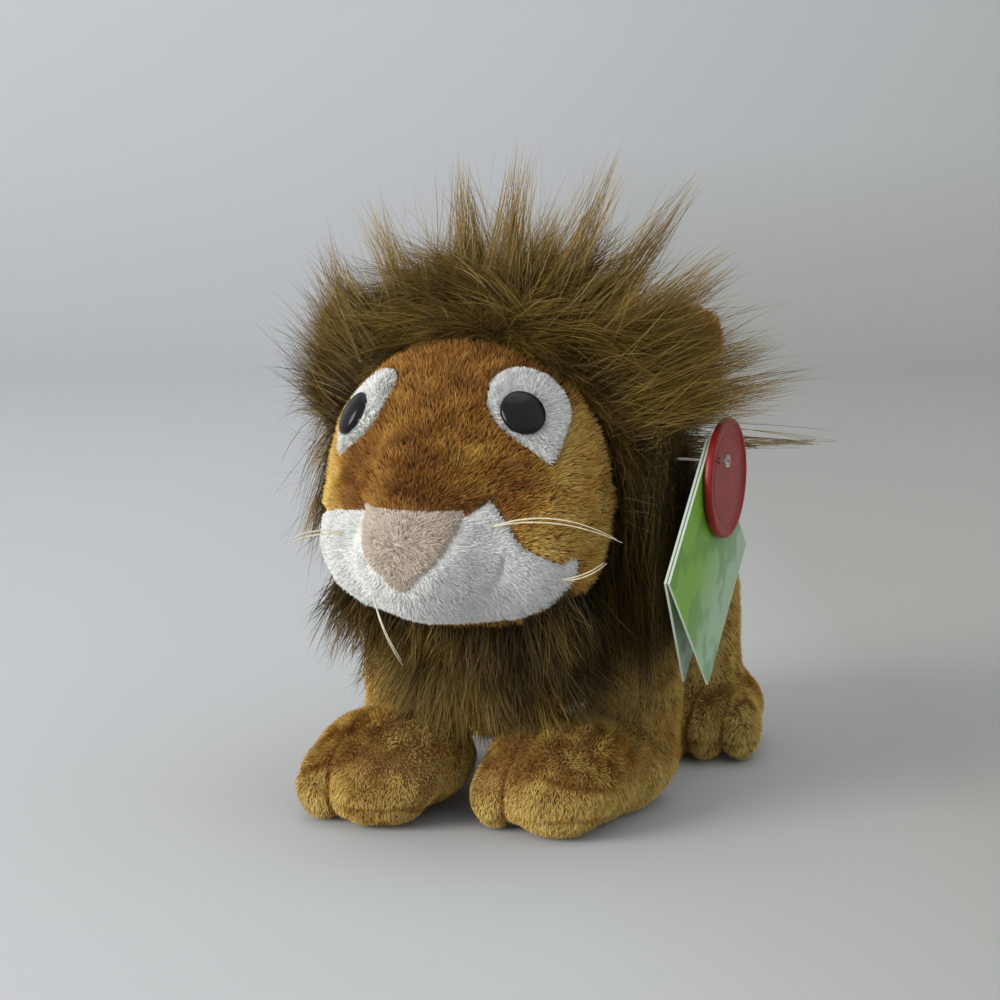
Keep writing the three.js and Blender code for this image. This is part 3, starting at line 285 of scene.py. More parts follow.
def add_piece(name, points, faces, material, body, slot, nodes=(), fill=None, uv=None):
    """A mesh on a body, in place of the CAD nodes that it stands for; its slot is not used."""
    mesh = bpy.data.meshes.new(name)
    mesh.vertices.add(len(points))
    mesh.vertices.foreach_set("co", ((points + SHIFT) * 0.001).ravel())
    mesh.loops.add(faces.size)
    mesh.loops.foreach_set("vertex_index", faces.astype(np.int32).ravel())
    mesh.polygons.add(len(faces))
    mesh.polygons.foreach_set("loop_start", np.arange(0, faces.size, faces.shape[1], dtype=np.int32))
    mesh.polygons.foreach_set("use_smooth", np.ones(len(faces), bool))
    mesh.update(calc_edges=True)
    if uv is not None:
        layer = mesh.uv_layers.new(name="OFBake")
        layer.data.foreach_set("uv", uv[faces.ravel()].astype(np.float32).ravel())
    mesh.materials.append(material)
    thing = bpy.data.objects.new(name, mesh)
    bpy.context.scene.collection.objects.link(thing)
    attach(thing, body)
    if nodes:
        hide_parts(*nodes)


# Materials
def srgb(red, green, blue):
    values = [c / 255 for c in (red, green, blue)]
    linear = [c / 12.92 if c <= 0.04045 else ((c + 0.055) / 1.055) ** 2.4 for c in values]
    return (*linear, 1)


def grey(level):
    return (level, level, level, 1)


def new_material(name, roughness, specular=0.5):
    material = bpy.data.materials.new(name)
    material.use_nodes = True
    shader = material.node_tree.nodes["Principled BSDF"]
    shader.inputs["Roughness"].default_value = roughness
    shader.inputs["Specular IOR Level"].default_value = specular
    return material, shader, material.node_tree


def add_node(tree, kind, inputs, output, **settings):
    """One output of a new shader node, whose inputs are constant values or outputs of other nodes."""
    node = tree.nodes.new("ShaderNode" + kind)
    for name, value in settings.items():
        setattr(node, name, value)
    for name, value in inputs.items():
        if isinstance(value, bpy.types.NodeSocket):
            tree.links.new(value, node.inputs[name])
        else:
            node.inputs[name].default_value = value
    return node.outputs[output]


def add_ramp(tree, factor, stops):
    """The colour that a factor picks from stops of place and colour."""
    colour = add_node(tree, "ValToRGB", {"Fac": factor}, "Color")
    elements = colour.node.color_ramp.elements
    while len(elements) < len(stops):
        elements.new(0.5)
    for element, (place, stop) in zip(elements, stops):
        element.position = place
        element.color = stop
    return colour


def add_mix(tree, factor, first, second, blend="MIX"):
    inputs = {"Factor": factor, "A": first, "B": second}
    return add_node(tree, "Mix", inputs, "Result", data_type="RGBA", blend_type=blend)


def add_dot(tree, vector, aim):
    return add_node(tree, "VectorMath", {0: vector, 1: aim}, "Value", operation="DOT_PRODUCT")


def add_range(tree, value, low, high):
    return add_node(tree, "MapRange", {"Value": value, "From Min": low, "From Max": high}, "Result")


def add_relief(tree, shader, place, scale, strength, depth):
    """A fine bump, with its depth in metres."""
    fine = add_node(tree, "TexNoise", {"Vector": place, "Scale": scale}, "Fac")
    normal = add_node(tree, "Bump", {"Height": fine, "Strength": strength, "Distance": depth}, "Normal")
    tree.links.new(normal, shader.inputs["Normal"])


def pile_material(name, tints, root_painted_shade, tip_painted_shade, roughness=0.7):
    """Strands: their tint runs along u of their map, and their length along v, along which they are darker
    towards the root as painted shade deep in the pile.
    """
    material, shader, tree = new_material(name, roughness, 0.25)
    uv = add_node(tree, "UVMap", {}, "UV", uv_map="OFBake")
    tint = add_ramp(tree, add_node(tree, "SeparateXYZ", {"Vector": uv}, "X"), tints)
    along = add_node(tree, "SeparateXYZ", {"Vector": uv}, "Y")
    # Painted shade: darker at the root than at the tip
    shade = add_ramp(tree, along, ((0, grey(root_painted_shade)), (0.55, grey(0.8)), (1, grey(tip_painted_shade))))
    tree.links.new(add_mix(tree, 1, tint, shade, "MULTIPLY"), shader.inputs["Base Color"])
    return material


def mottled_material(name, stops, roughness, specular, scale, detail=2, relief=None):
    """Cloth or plastic, mottled by a noise, with a relief of scale, strength and depth."""
    material, shader, tree = new_material(name, roughness, specular)
    place = add_node(tree, "TexCoord", {}, "Object")
    noise = add_node(tree, "TexNoise", {"Vector": place, "Scale": scale, "Detail": detail}, "Fac")
    tree.links.new(add_ramp(tree, noise, stops), shader.inputs["Base Color"])
    if relief:
        add_relief(tree, shader, place, *relief)
    return material


def cloth_material(name, dark, light, scale=250):
    stops = ((0.3, dark), (0.7, light))
    return mottled_material(name, stops, 0.9, 0.5, scale, detail=4, relief=(2200, 0.5, 0.0004))


def set_material(node_name, material):
    """Gives a CAD node that is kept a material."""
    materials = frame["nodes"][node_name].data.materials
    materials.clear()
    materials.append(material)


TAN_TINTS = (
    (0, srgb(126, 76, 28)), (0.3, srgb(172, 118, 48)),
    (0.6, srgb(212, 164, 74)), (1, srgb(240, 208, 120)),
)
MANE_TINTS = (
    (0, srgb(44, 34, 11)), (0.35, srgb(104, 81, 29)), (0.6, srgb(140, 110, 42)),
    (0.85, srgb(186, 154, 80)), (1, srgb(222, 200, 150)),
)
# After the tints come the painted shade at the strands' roots and at their tips
tan_pile = pile_material("tan_pile", TAN_TINTS, 0.45, 1)
white_pile = pile_material("white_pile", ((0, srgb(232, 232, 226)), (1, srgb(250, 250, 246))), 0.94, 1)
pink_pile = pile_material("pink_pile", ((0, srgb(206, 190, 170)), (1, srgb(226, 212, 194))), 0.84, 1)
mane_pile = pile_material("mane_pile", MANE_TINTS, 0.3, 1.0, 0.6)
tan_cloth = cloth_material("tan_cloth", srgb(104, 64, 26), srgb(142, 98, 48))
white_cloth = cloth_material("white_cloth", srgb(214, 214, 207), srgb(236, 236, 230))
pink_cloth = cloth_material("pink_cloth", srgb(190, 172, 158), srgb(214, 196, 182))
mane_cloth = cloth_material("mane_cloth", srgb(46, 34, 13), srgb(78, 59, 24))


# Strands: tapered ribbons of a few segments, from roots on a surface. Every draw comes from one seeded source
chance = np.random.default_rng(5)


def scatter(points, faces, density):
    """Random places on a mesh of quads, so many to a square millimetre."""
    triangles = np.concatenate((faces[:, [0, 1, 2]], faces[:, [0, 2, 3]]))
    a, b, c = (points[triangles[:, i]] for i in range(3))
    areas = norm(np.cross(b - a, c - a)) / 2
    count = int(areas.sum() * density)
    pick = np.searchsorted(np.cumsum(areas) / areas.sum(), chance.random(count))
    pick = np.minimum(pick, len(areas) - 1)
    u, v = chance.random((2, count, 1))
    over = u + v > 1
    u, v = np.where(over, 1 - u, u), np.where(over, 1 - v, v)
    return a[pick] + u * (b - a)[pick] + v * (c - a)[pick]


def across_only(vectors, normals):
    """The share of vectors that lies across the normals."""
    return vectors - (vectors * normals).sum(-1, keepdims=True) * normals


def ribbons(paths, facing, width, tint):
    """Points, triangles and map of ribbons along paths of shape (strands, levels, 3)."""
    count, levels, _ = paths.shape
    along = unit(np.gradient(paths, axis=1))
    roll = chance.normal(0, 0.5, (count, 1, 3))
    side = unit(np.cross(along, facing[:, None] + roll))
    share = np.linspace(0, 1, levels)
    taper = np.sqrt(1 - share[:-1] ** 2)
    half = 0.5 * width[:, None, None] * taper[None, :, None]
    body = paths[:, :-1]
    pairs = np.stack((body - side[:, :-1] * half, body + side[:, :-1] * half), 2)
    points = np.concatenate((pairs.reshape(count, -1, 3), paths[:, -1:]), 1)
    tip = 2 * (levels - 1)
    block = []
    for i in range(0, tip - 2, 2):
        block += [(i, i + 1, i + 3), (i, i + 3, i + 2)]
    block.append((tip - 2, tip - 1, tip))
    step = np.arange(count)[:, None, None] * (tip + 1)
    triangles = (np.array(block)[None] + step).reshape(-1, 3)
    uv = np.empty((count, tip + 1, 2))
    for first, aside in ((0, -0.004), (1, 0.004)):
        uv[:, first:tip:2, 0] = tint[:, None] + aside
        uv[:, first:tip:2, 1] = share[:-1] * 0.98 + 0.01
    uv[:, tip, 0] = tint
    uv[:, tip, 1] = 0.99
    return points.reshape(-1, 3), triangles, uv.reshape(-1, 2)


def bent(start, later, size, share):
    """Paths that leave along one aim and end up along another."""
    return size * (start[:, None] * share * (1 - share / 2) + later[:, None] * share ** 2 / 2)


def tint_of(tint, scatter_width, count):
    return np.clip(tint + chance.normal(0, scatter_width, count), 0.02, 0.98)


# Short piles: strands to a square millimetre, and their length and width in millimetres
PILES = dict(
    head=(4.2, 3.2, 0.36), muzzle=(4.2, 2.1, 0.36), nose=(4.2, 1.9, 0.36), patch=(5.5, 2.1, 0.36),
    torso=(3.2, 2.8, 0.42), leg=(6.5, 2.3, 0.38), ear=(3.2, 3.2, 0.42), tail=(3.0, 3.4, 0.42),
)


def short_pile(name, roots, normals, comb, length, width, tint, material, body, slot, levels=3):
    """Short pile that leans along a comb direction."""
    flat = across_only(comb, normals)
    crush = across_only(np.stack([waves(roots, 5, seed) for seed in (31, 32, 33)], -1), normals)
    aim = unit(normals + flat + 0.55 * crush + chance.normal(0, 0.2, roots.shape))
    later = unit(aim + 0.5 * flat + chance.normal(0, 0.2, roots.shape))
    share = np.linspace(0, 1, levels)[None, :, None]
    size = (length * chance.uniform(0.75, 1.15, len(roots)))[:, None, None]
    paths = roots[:, None] + bent(aim, later, size, share)
    tint = tint_of(tint, 0.07, len(roots))
    points, faces, uv = ribbons(paths, normals, width * chance.uniform(0.7, 1.2, len(roots)), tint)
    add_piece(name, points, faces, material, body, slot, uv=uv)


# Head
def head_part(place, halves):
    return ellipsoid(HEAD + np.array(place), halves)


head_form = blended(
    [
        head_part((0, 0, 0), HEAD_HALVES),
        head_part(*SNOUT),
        head_part(*BRIDGE),
        *(head_part((side * CHEEK[0][0], *CHEEK[0][1:]), CHEEK[1]) for side, _ in SIDES),
    ],
    HEAD_BLEND,
)


def segment_distance(p, a, b):
    run = b - a
    t = np.clip(((p - a) @ run) / (run @ run), 0, 1)
    return norm(p - a - t[:, None] * run)


def edge_distance(p, outline):
    """Distance to a closed outline in the plane, below zero inside."""
    best = np.full(len(p), 1e9)
    odd = np.zeros(len(p), bool)
    for a, b in zip(outline, np.roll(outline, -1, axis=0)):
        best = np.minimum(best, segment_distance(p, a, b))
        crosses = (a[1] > p[:, 1]) != (b[1] > p[:, 1])
        level = np.where(b[1] == a[1], 1e-9, b[1] - a[1])
        odd ^= crosses & (p[:, 0] < (b[0] - a[0]) * (p[:, 1] - a[1]) / level + a[0])
    return np.where(odd, -best, best)


def curve_points(start, control, end, count=8):
    t = np.linspace(0, 1, count)[:, None]
    return bezier(*(np.array(q, float) for q in (start, control, end)), t)


nose_low = NOSE_LOW + NOSE_ROUND
nose_middle = (NOSE_TOP + NOSE_LOW) / 2
nose_outline = np.concatenate((
    curve_points((-NOSE_HALF - 3, NOSE_TOP), (-NOSE_HALF - 2, nose_middle), (-NOSE_ROUND, nose_low))[:-1],
    curve_points((-NOSE_ROUND, nose_low), (0, nose_low - 1.5 * NOSE_ROUND), (NOSE_ROUND, nose_low))[:-1],
    curve_points((NOSE_ROUND, nose_low), (NOSE_HALF, nose_middle), (NOSE_HALF, NOSE_TOP)),
))


def face_edges(p):
    """Distances in the front view to the muzzle's and the nose's outline."""
    local = p - HEAD
    flat = local[:, [0, 2]]
    _, y, z = local.T
    behind = y - PANEL_BACK - PANEL_SLOPE * np.minimum(z + 15, 0)
    muzzle = -soft_min(-edge_distance(flat, MUZZLE), -behind, 8)
    return muzzle, np.where(y < 0, edge_distance(flat, nose_outline), 99)


def mouth_crease(p):
    """1 along the short bent crease in each side of the muzzle, 0 away from it."""
    x, y, z = (p - HEAD).T
    flat = np.stack((np.abs(x), z), -1)
    near = np.full(len(p), 99.0)
    for a, b in zip(np.array(MOUTH[:-1], float), np.array(MOUTH[1:], float)):
        near = np.minimum(near, segment_distance(flat, a, b))
    return ridge(near / 1.3) * (y < 0)


# Eyes sit square on the head, in a frame of across, up and out
eyes = {}
for side, label in SIDES:
    out = unit(np.array((side * EYE_AIM[0], EYE_AIM[1], EYE_AIM[2] + side * EYE_UNEVEN)))
    seat = HEAD + out * surface_reach(head_form, HEAD, out[None], 120.0, 30)[0]
    across = unit(np.cross((0, 0, 1), out))
    patch = dict(zip(("shift", "rise", "tip", "squeeze"), PATCHES[label]))
    eyes[label] = dict(side=side, out=out, across=across, up=np.cross(out, across), seat=seat, **patch)


def patch_distance(p, eye):
    """Distance to the teardrop outline round an eye, in the eye's own plane."""
    local = p - eye["seat"]
    flat = np.stack((local @ eye["across"] - eye["side"] * eye["shift"], local @ eye["up"] - eye["rise"]), -1)
    flat[:, 0] *= eye["squeeze"]
    tip = np.array((eye["side"] * eye["tip"][0], eye["tip"][1]))
    length = np.linalg.norm(tip)
    along = flat @ tip / length
    aside = np.abs(flat @ np.array((tip[1], -tip[0])) / length)
    lean = (PATCH_RADIUS - PATCH_TIP_RADIUS) / length
    straight = math.sqrt(1 - lean * lean)
    place = along * straight - aside * lean
    away = aside * straight + along * lean - PATCH_RADIUS
    away = np.where(place < 0, norm(flat) - PATCH_RADIUS, away)
    beyond = np.hypot(aside, along - length) - PATCH_TIP_RADIUS
    away = np.where(place > straight * length, beyond, away)
    return np.where(local @ eye["out"] > -PATCH_RADIUS, away, 99)


def head_cover(p):
    """The head's backing: below the pile, with a groove along every seam."""
    muzzle, nose = face_edges(p)
    seam = np.minimum(np.abs(muzzle), np.abs(nose))
    for eye in eyes.values():
        seam = np.minimum(seam, np.abs(patch_distance(p, eye)))
    return head_form(p) + BASE + 0.9 * ridge(seam / 1.2) + 1.1 * mouth_crease(p)


points, faces = net(head_cover, HEAD - (55, 70, 55), HEAD + (55, 52, 55), step=1.4)
centres = points[faces].mean(1)
muzzle, nose = face_edges(centres)
on_nose = nose < 0
on_muzzle = (muzzle < 0) & ~on_nose
for name, keep, material, slot, nodes in (
    ("head_skin", ~on_nose & ~on_muzzle, tan_cloth, "tan_plush", ("head_skin", "head_stuffing")),
    ("muzzle_panel", on_muzzle, white_cloth, "white_plush", ("muzzle_panel",)),
    ("nose_panel", on_nose, pink_cloth, "pink_plush", ("nose_panel",)),
):
    add_piece(name + "_cover", *part_of(points, faces, keep), material, "head", slot, nodes, fill=0.9)

roots = scatter(points, faces, PILES["head"][0])
local = roots - HEAD
x, _, z = local.T
normals = normals_at(head_form, roots)
muzzle, nose = face_edges(roots)
patch = np.minimum(*(patch_distance(roots, eye) for eye in eyes.values()))
bare = unit(local)[:, 1] < np.where(z > 0, -0.18, 0.02) + 0.12
comb = unit(local - np.array((0, -58, -14))) * 0.9
seam = np.minimum(np.minimum(np.abs(muzzle), np.abs(nose)), np.abs(patch))
short = (0.55 + 0.45 * ramp(seam / 2.5)) * (1 - 0.45 * mouth_crease(roots))
warm = 0.44 + 0.14 * waves(roots, 16, 3) + 0.12 * waves(roots, 4, 4)
warm -= 0.3 * ridge((z + 1) / 15) * ramp((40 - np.abs(x)) / 14)
# The last term darkens the fur up the forehead: partly its own darker tone, partly painted shadow of the mane
warm += 0.3 * ramp((np.abs(x) - 26) / 14) - 0.26 * ramp((z - 16) / 20)
is_nose = nose < 0
is_muzzle = (muzzle < 0) & ~is_nose
is_tan = ~is_nose & ~is_muzzle & (patch > 0) & bare
for name, keep, material, slot in (
    ("head", is_tan, tan_pile, "tan_plush"),
    ("muzzle", is_muzzle & bare, white_pile, "white_plush"),
    ("nose", is_nose, pink_pile, "pink_plush"),
):
    _, size, width = PILES[name]
    tint = warm if material is tan_pile else 0.5 + 0.3 * waves(roots, 5, 9)
    short_pile(
        name + "_pile", roots[keep], normals[keep], comb[keep], size * short[keep], width,
        tint[keep], material, "head", slot,
    )


# Eye patches, washers and eyes
def round_forms(centres, across, above, radii, sides):
    """Rings about centres of shape (forms, levels, 3), joined along each form by quads."""
    count, levels, _ = centres.shape
    angle = np.linspace(0, 2 * math.pi, sides, endpoint=False)[:, None]
    ring = np.cos(angle) * across[..., None, :] + np.sin(angle) * above[..., None, :]
    points = centres[:, :, None] + radii[:, None, None] * ring
    first = np.arange(count * levels).reshape(count, levels, 1)[:, :-1] * sides
    a = first + np.arange(sides)
    b = first + (np.arange(sides) + 1) % sides
    return points.reshape(-1, 3), np.stack((a, b, b + sides, a + sides), -1).reshape(-1, 4)


def turned(profile, seat, across, above, out, sides=48):
    """A turned closed form: profile is pairs of radius and height along out."""
    radii, heights = np.array(profile, float).T
    return round_forms((seat + np.outer(heights, out))[None], across, above, radii, sides)


EYE_RIM = 0.8
EYE_PROFILE = [
    (0.01, EYE_BASE - 0.6), (EYE_RADIUS * 0.9, EYE_BASE - 0.6), (EYE_RADIUS * 0.99, EYE_BASE),
    *(
        (EYE_RADIUS * math.cos(a), EYE_BASE + EYE_RIM + (EYE_RISE - EYE_RIM) * math.sin(a))
        for a in np.linspace(0, math.pi / 2, 14)[:-1]
    ),
    (0.01, EYE_BASE + EYE_RISE),
]
eye_tints = ((0.35, srgb(9, 8, 7)), (0.7, srgb(18, 15, 12)))
eye_material = mottled_material("eye_plastic", eye_tints, roughness=0.2, specular=0.3, scale=260)
washer_material = cloth_material("washer_plastic", srgb(196, 192, 182), srgb(214, 210, 200))

for label, eye in eyes.items():
    def pad(p, eye=eye):
        edge = patch_distance(p, eye)
        thick = 1.5 * np.sqrt(np.clip(-edge / 2.2, 0, 1))
        return meet(head_form(p) + BASE - 0.4 - thick, edge, -head_form(p) - BASE + 0.1)

    reach = 1.6 * PATCH_RADIUS
    points, faces = net(pad, eye["seat"] - reach, eye["seat"] + reach, step=0.8)
    patch = "eye_patch_" + label
    add_piece(patch + "_cover", points, faces, white_cloth, "head", "white_plush", (patch,), fill=0.8)
    density, size, width = PILES["patch"]
    roots = scatter(points, faces, density)
    normals = normals_at(head_form, roots)
    above = head_form(roots) > -BASE + 0.2
    roots, normals = roots[above], normals[above]
    keep = norm(roots - eye["seat"]) > EYE_RADIUS - 1.2
    roots, normals = roots[keep], normals[keep]
    length = size * (0.7 + 0.3 * ramp(-patch_distance(roots, eye) / 2))
    short_pile(
        patch + "_pile", roots, normals, unit(roots - eye["seat"]) * 0.8, length, width,
        0.5 + 0.3 * waves(roots, 4, 8), white_pile, "head", "white_plush",
    )
    across = eye["across"] / eye["squeeze"] ** 0.8
    points, faces = turned(EYE_PROFILE, eye["seat"], across, eye["up"], eye["out"])
    node = "eye_" + label
    add_piece(node + "_dome", points, faces, eye_material, "head", "black_plastic", (node,))
    set_material("eye_washer_" + label, washer_material)


# Legs and torso
def leg_form(side, leg):
    sx, sy, sz = leg["seam"]

    def lobe(out, y, halves, height=None, aside=0):
        """One ellipsoid, that stands on the floor where it has no height."""
        return ellipsoid((side * (sx + out) + aside, sy + y, height or halves[2] - SOLE_DROP), halves)

    heel_out, heel_y, heel = leg["heel"]
    paw_out, paw_y, paw = leg["paw"]
    paw_y += side * leg["stride"]
    parts = [lobe(out, y, halves, sz - drop) for out, y, drop, halves in (leg["thigh"], leg["shank"])]
    parts += [lobe(heel_out, heel_y, heel), lobe(paw_out, paw_y, paw)]
    parts.append(lobe((heel_out + paw_out) / 2, (heel_y + paw_y) / 2, leg["sole"]))
    toes = [lobe(paw_out, paw_y - reach, halves, aside=across) for across, reach, halves in leg["lobes"]]
    return blended([blended(parts, LEG_BLEND), *toes], leg["lobe_blend"])


def paw_creases(side, leg, p):
    """1 in the creases between a paw's lobes, in its ankle folds and along its low seam, 0 away from them."""
    sx, sy, _ = leg["seam"]
    paw_out, paw_y, _ = leg["paw"]
    x, y, z = p.T
    middle_x = side * (sx + paw_out)
    ahead = ramp((sy + paw_y + side * leg["stride"] - 6 - y) / 12)
    crease = np.zeros(len(p))
    for (here, _, halves), (there, _, next_halves) in zip(leg["lobes"], leg["lobes"][1:]):
        line = middle_x + (here + halves[0] + there - next_halves[0]) / 2 + 0.12 * (z - 10)
        crease = np.maximum(crease, ridge((x - line) / 1.2) * ahead)
    out = side * x - sx
    span = ramp((out - 6) / 6) * ramp((34 - out) / 10) * ahead
    for height, strength in ((30, 0.7), (23, 1)):
        fold = ridge((z - height + 0.32 * (out - 10) + 1.2 * waves(p, 14, 93)) / 1.1)
        crease = np.maximum(crease, strength * fold * span * leg["folds"])
    seam_height = 8.5 + 1.2 * waves(p, 9, 91)
    big = ramp((x - middle_x + 8) / 8)
    return np.maximum(crease, 0.8 * big * ahead * ridge(z - seam_height))


def leg_cut(side, leg):
    """Below zero where the leg has been cut away at its seam with the torso."""
    sx, _, sz = leg["seam"]
    return lambda p: np.maximum(side * p[:, 0] - sx - GAP, sz - leg["drop"] - p[:, 2])


def pocket(side, leg):
    """Below zero in the round room that the torso leaves for a leg."""
    sx, sy, sz = leg["seam"]
    return lambda p: np.maximum(np.hypot(p[:, 1] - sy, p[:, 2] - sz) - leg["room"], sx - side * p[:, 0])


torso_form = blended([ellipsoid(*CHEST), ellipsoid(*BELLY), ellipsoid(*RUMP)], TORSO_BLEND)
front_pockets = [pocket(side, FRONT) for side, _ in SIDES]
all_pockets = front_pockets + [pocket(side, HIND) for side, _ in SIDES]


def torso_cover(p):
    return meet(torso_form(p) + BASE, COLLAR - norm(p - HEAD), *(-room(p) for room in all_pockets))


points, faces = net(torso_cover, (-48, -66, 20), (48, 96, 108), step=1.8)
nodes = ("torso_skin", "torso_stuffing")
add_piece("torso_cover", points, faces, tan_cloth, "torso", "tan_plush", nodes, fill=0.85)
density, size, width = PILES["torso"]
roots = scatter(points, faces, density)
roots = roots[torso_form(roots) > -BASE - 0.5]
normals = normals_at(torso_form, roots)
warm = 0.62 + 0.22 * waves(roots, 18, 13) + 0.14 * waves(roots, 4, 14)
comb = np.array((0, 0.7, -0.5))
short_pile("torso_pile", roots, normals, comb, size, width, warm, tan_pile, "torso", "tan_plush", levels=2)

for leg, kind in ((FRONT, "front_leg"), (HIND, "hind_leg")):
    for side, label in SIDES:
        body = kind + "_" + label
        form = leg_form(side, leg)
        cut = leg_cut(side, leg)

        def cover(p, form=form, cut=cut, side=side, leg=leg):
            skin = form(p) + BASE + 0.9 * paw_creases(side, leg, p) - 0.35 * waves(p, 11, 95)
            return meet(skin, -cut(p), BASE / 2 - p[:, 2])

        sx, sy, sz = leg["seam"]
        inner, outer = sorted((side * (sx - 24), side * (sx + 50)))
        points, faces = net(cover, (inner, sy - 84, -3), (outer, sy + 40, sz + 40), step=1.5)
        nodes = (kind + "_skin_" + label, kind + "_stuffing_" + label)
        add_piece(body + "_cover", points, faces, tan_cloth, body, "tan_plush", nodes, fill=0.85)
        density, size, width = PILES["leg"]
        roots = scatter(points, faces, density)
        roots = roots[(form(roots) > -BASE - 1.4) & (roots[:, 2] > 1.2) & (cut(roots) > 0.4)]
        normals = normals_at(form, roots)
        crease = paw_creases(side, leg, roots)
        x, y, z = roots.T
        paw_top = ridge((z - 26) / 8) * ramp((sy - 20 - y) / 12)
        warm = 0.92 + 0.2 * waves(roots, 15, 23) + 0.12 * waves(roots, 3.5, 24)
        # Painted shade: darker in the lobe creases, the ankle folds and the groove along the low seam; a band
        # over the paw's top is darker too
        warm += -0.45 * crease - 0.16 * paw_top
        length = size * ramp((z + 1.5) / 5) * (0.6 + 0.4 * ramp((side * x - sx) / 6))
        length *= 1 - 0.3 * crease
        comb = np.array((0, -0.35, -0.8))
        place = (body + "_pile", roots, normals, comb)
        short_pile(*place, length, width, warm, tan_pile, body, "tan_plush", levels=2)


# Ears
for side, label in SIDES:
    ear = "ear_" + label
    lean, turn_back = math.radians(EAR_LEAN), math.radians(EAR_BACK)
    flat = math.sin(lean) * np.array((side * math.cos(turn_back), math.sin(turn_back), 0))
    direction = flat + (0, 0, math.cos(lean))
    root = joint_place(ear + "_flop")
    facing = np.array((side * 0.2, -1.0, 0))
    facing = unit(facing - (facing @ direction) * direction)
    width = unit(np.cross(direction, facing))
    basis = np.stack((width, -facing, direction), -1)
    rise = EAR_LENGTH / 2
    middle = np.array((0, 0, rise - EAR_HALF_THICKNESS))
    leaf = ellipsoid(middle, (EAR_HALF_WIDTH - 1, EAR_HALF_THICKNESS - 1, rise - 1))
    cup_middle = middle - (0, EAR_CUP + EAR_HALF_THICKNESS / 2, 0)
    cup = ellipsoid(cup_middle, (EAR_HALF_WIDTH - 2, EAR_HALF_THICKNESS, rise - 2))

    def ear_cover(p, root=root, basis=basis, leaf=leaf, cup=cup):
        q = (p - root) @ basis
        return np.maximum(leaf(q), -cup(q))

    points, faces = net(ear_cover, root - 52, root + 52, step=1.1)
    add_piece(ear + "_cover", points, faces, tan_cloth, ear, "tan_plush", (ear,))
    density, size, thick = PILES["ear"]
    roots = scatter(points, faces, density)
    normals = normals_at(ear_cover, roots)
    length = size * ramp(((roots - root) @ direction) / 8)
    warm = 0.5 + 0.2 * waves(roots, 9, 43)
    comb = direction * 0.8
    short_pile(ear + "_pile", roots, normals, comb, length, thick, warm, tan_pile, ear, "tan_plush")


# Mane: a dark undercoat between the skull and a share of the pile's depth, and long strands that leave it
MANE_TOP = 38
MANE_SIDE = 24
MANE_EDGE = 8
MANE_FRONT = -6
MANE_FRONT_SIDE = 14
MANE_SWELL = 26
PARTING = 9
FAR_SIDE = 56
COAT_SHARE = 0.5
CROWN_CLOCK = 34
THROAT_CLOCK = 118
LOCK = 34
CROWN_LOCKS = (
    (-26, 8, 1.1, 0), (-10, 16, 0.9, 0), (6, 8, 1.2, 0), (20, 16, 1.2, 0), (29, 30, 1.4, 0),
    (-20, 36, 0.9, 0.1), (3, 34, 0.9, 0.1), (18, 50, 0.9, 0.2), (-12, 62, 0.8, 0.3), (12, 68, 0.7, 0.3),
)
LEFT_LOCKS = (
    (44, 20, 1.1, 0.1), (42, 38, 1.3, 0.1), (60, 30, 1.2, 0.2), (58, 56, 1, 0.2),
    (68, 38, 1.7, 0.2), (82, 42, 2.2, 0.4), (92, 40, 1.4, 0.5), (90, 60, 0.8, 0.3),
)
RIGHT_LOCKS = (
    (-41, 6, 1.3, 0), (-56, 16, 1.1, 0.1), (-68, 8, 1.2, 0.1), (-84, 10, 1, 0.3),
    (-98, 4, 0.8, 0.5), (-46, 38, 0.9, 0.2), (-70, 36, 0.9, 0.3), (-60, 60, 0.8, 0.3),
)


def mane_room(aim):
    """1 where the mane has room outside the torso's collar."""
    x, y, z = aim.T
    beside = ramp((np.abs(x) - 0.7) / 0.2) * ramp((0.3 - y) / 0.2) * ramp((z + 0.45) / 0.2)
    return meet(ramp((z - 0.12) / 0.2), beside, ramp((-0.12 - y) / 0.15))


def mane_front(aim):
    """The rake at which the pile starts: further back beside the face than over it and under it."""
    x, _, z = aim.T
    return MANE_FRONT + MANE_FRONT_SIDE * (x ** 2 / np.maximum(x ** 2 + z ** 2, 1e-9))


def rake_of(aim):
    return np.degrees(np.arcsin(np.clip(aim[:, 1], -1, 1)))


def mane_depth(aim):
    swell_share = ramp((rake_of(aim) - mane_front(aim)) / MANE_SWELL)
    most = MANE_SIDE + (MANE_TOP - MANE_SIDE) * ramp((aim[:, 2] - 0.12) / 0.7)
    return MANE_EDGE + (most - MANE_EDGE) * swell_share


def coat(p):
    reach = norm(p - HEAD)
    aim = unit(p - HEAD)
    skull = head_form(p)
    room = mane_room(aim)
    outer = skull - COAT_SHARE * mane_depth(aim)
    outer = np.maximum(outer, (reach - COLLAR + 1.5) * (1 - room) + room * -9)
    y = p[:, 1] - HEAD[1]
    front = np.sin(np.radians(mane_front(aim) + 3)) * reach - y
    rear = y - math.sin(math.radians(80)) * reach
    return meet(outer, 0.4 - skull, front, rear)


def mane_panels(local):
    """Which of the four panels of the mane places from the head's middle lie in, by their clock angle."""
    clock = np.degrees(np.arctan2(local[:, 0], local[:, 2]))
    return dict(
        mane_crown=np.abs(clock) <= CROWN_CLOCK,
        mane_left=(clock > CROWN_CLOCK) & (clock <= THROAT_CLOCK),
        mane_right=(clock < -CROWN_CLOCK) & (clock >= -THROAT_CLOCK),
        mane_throat=np.abs(clock) > THROAT_CLOCK,
    )


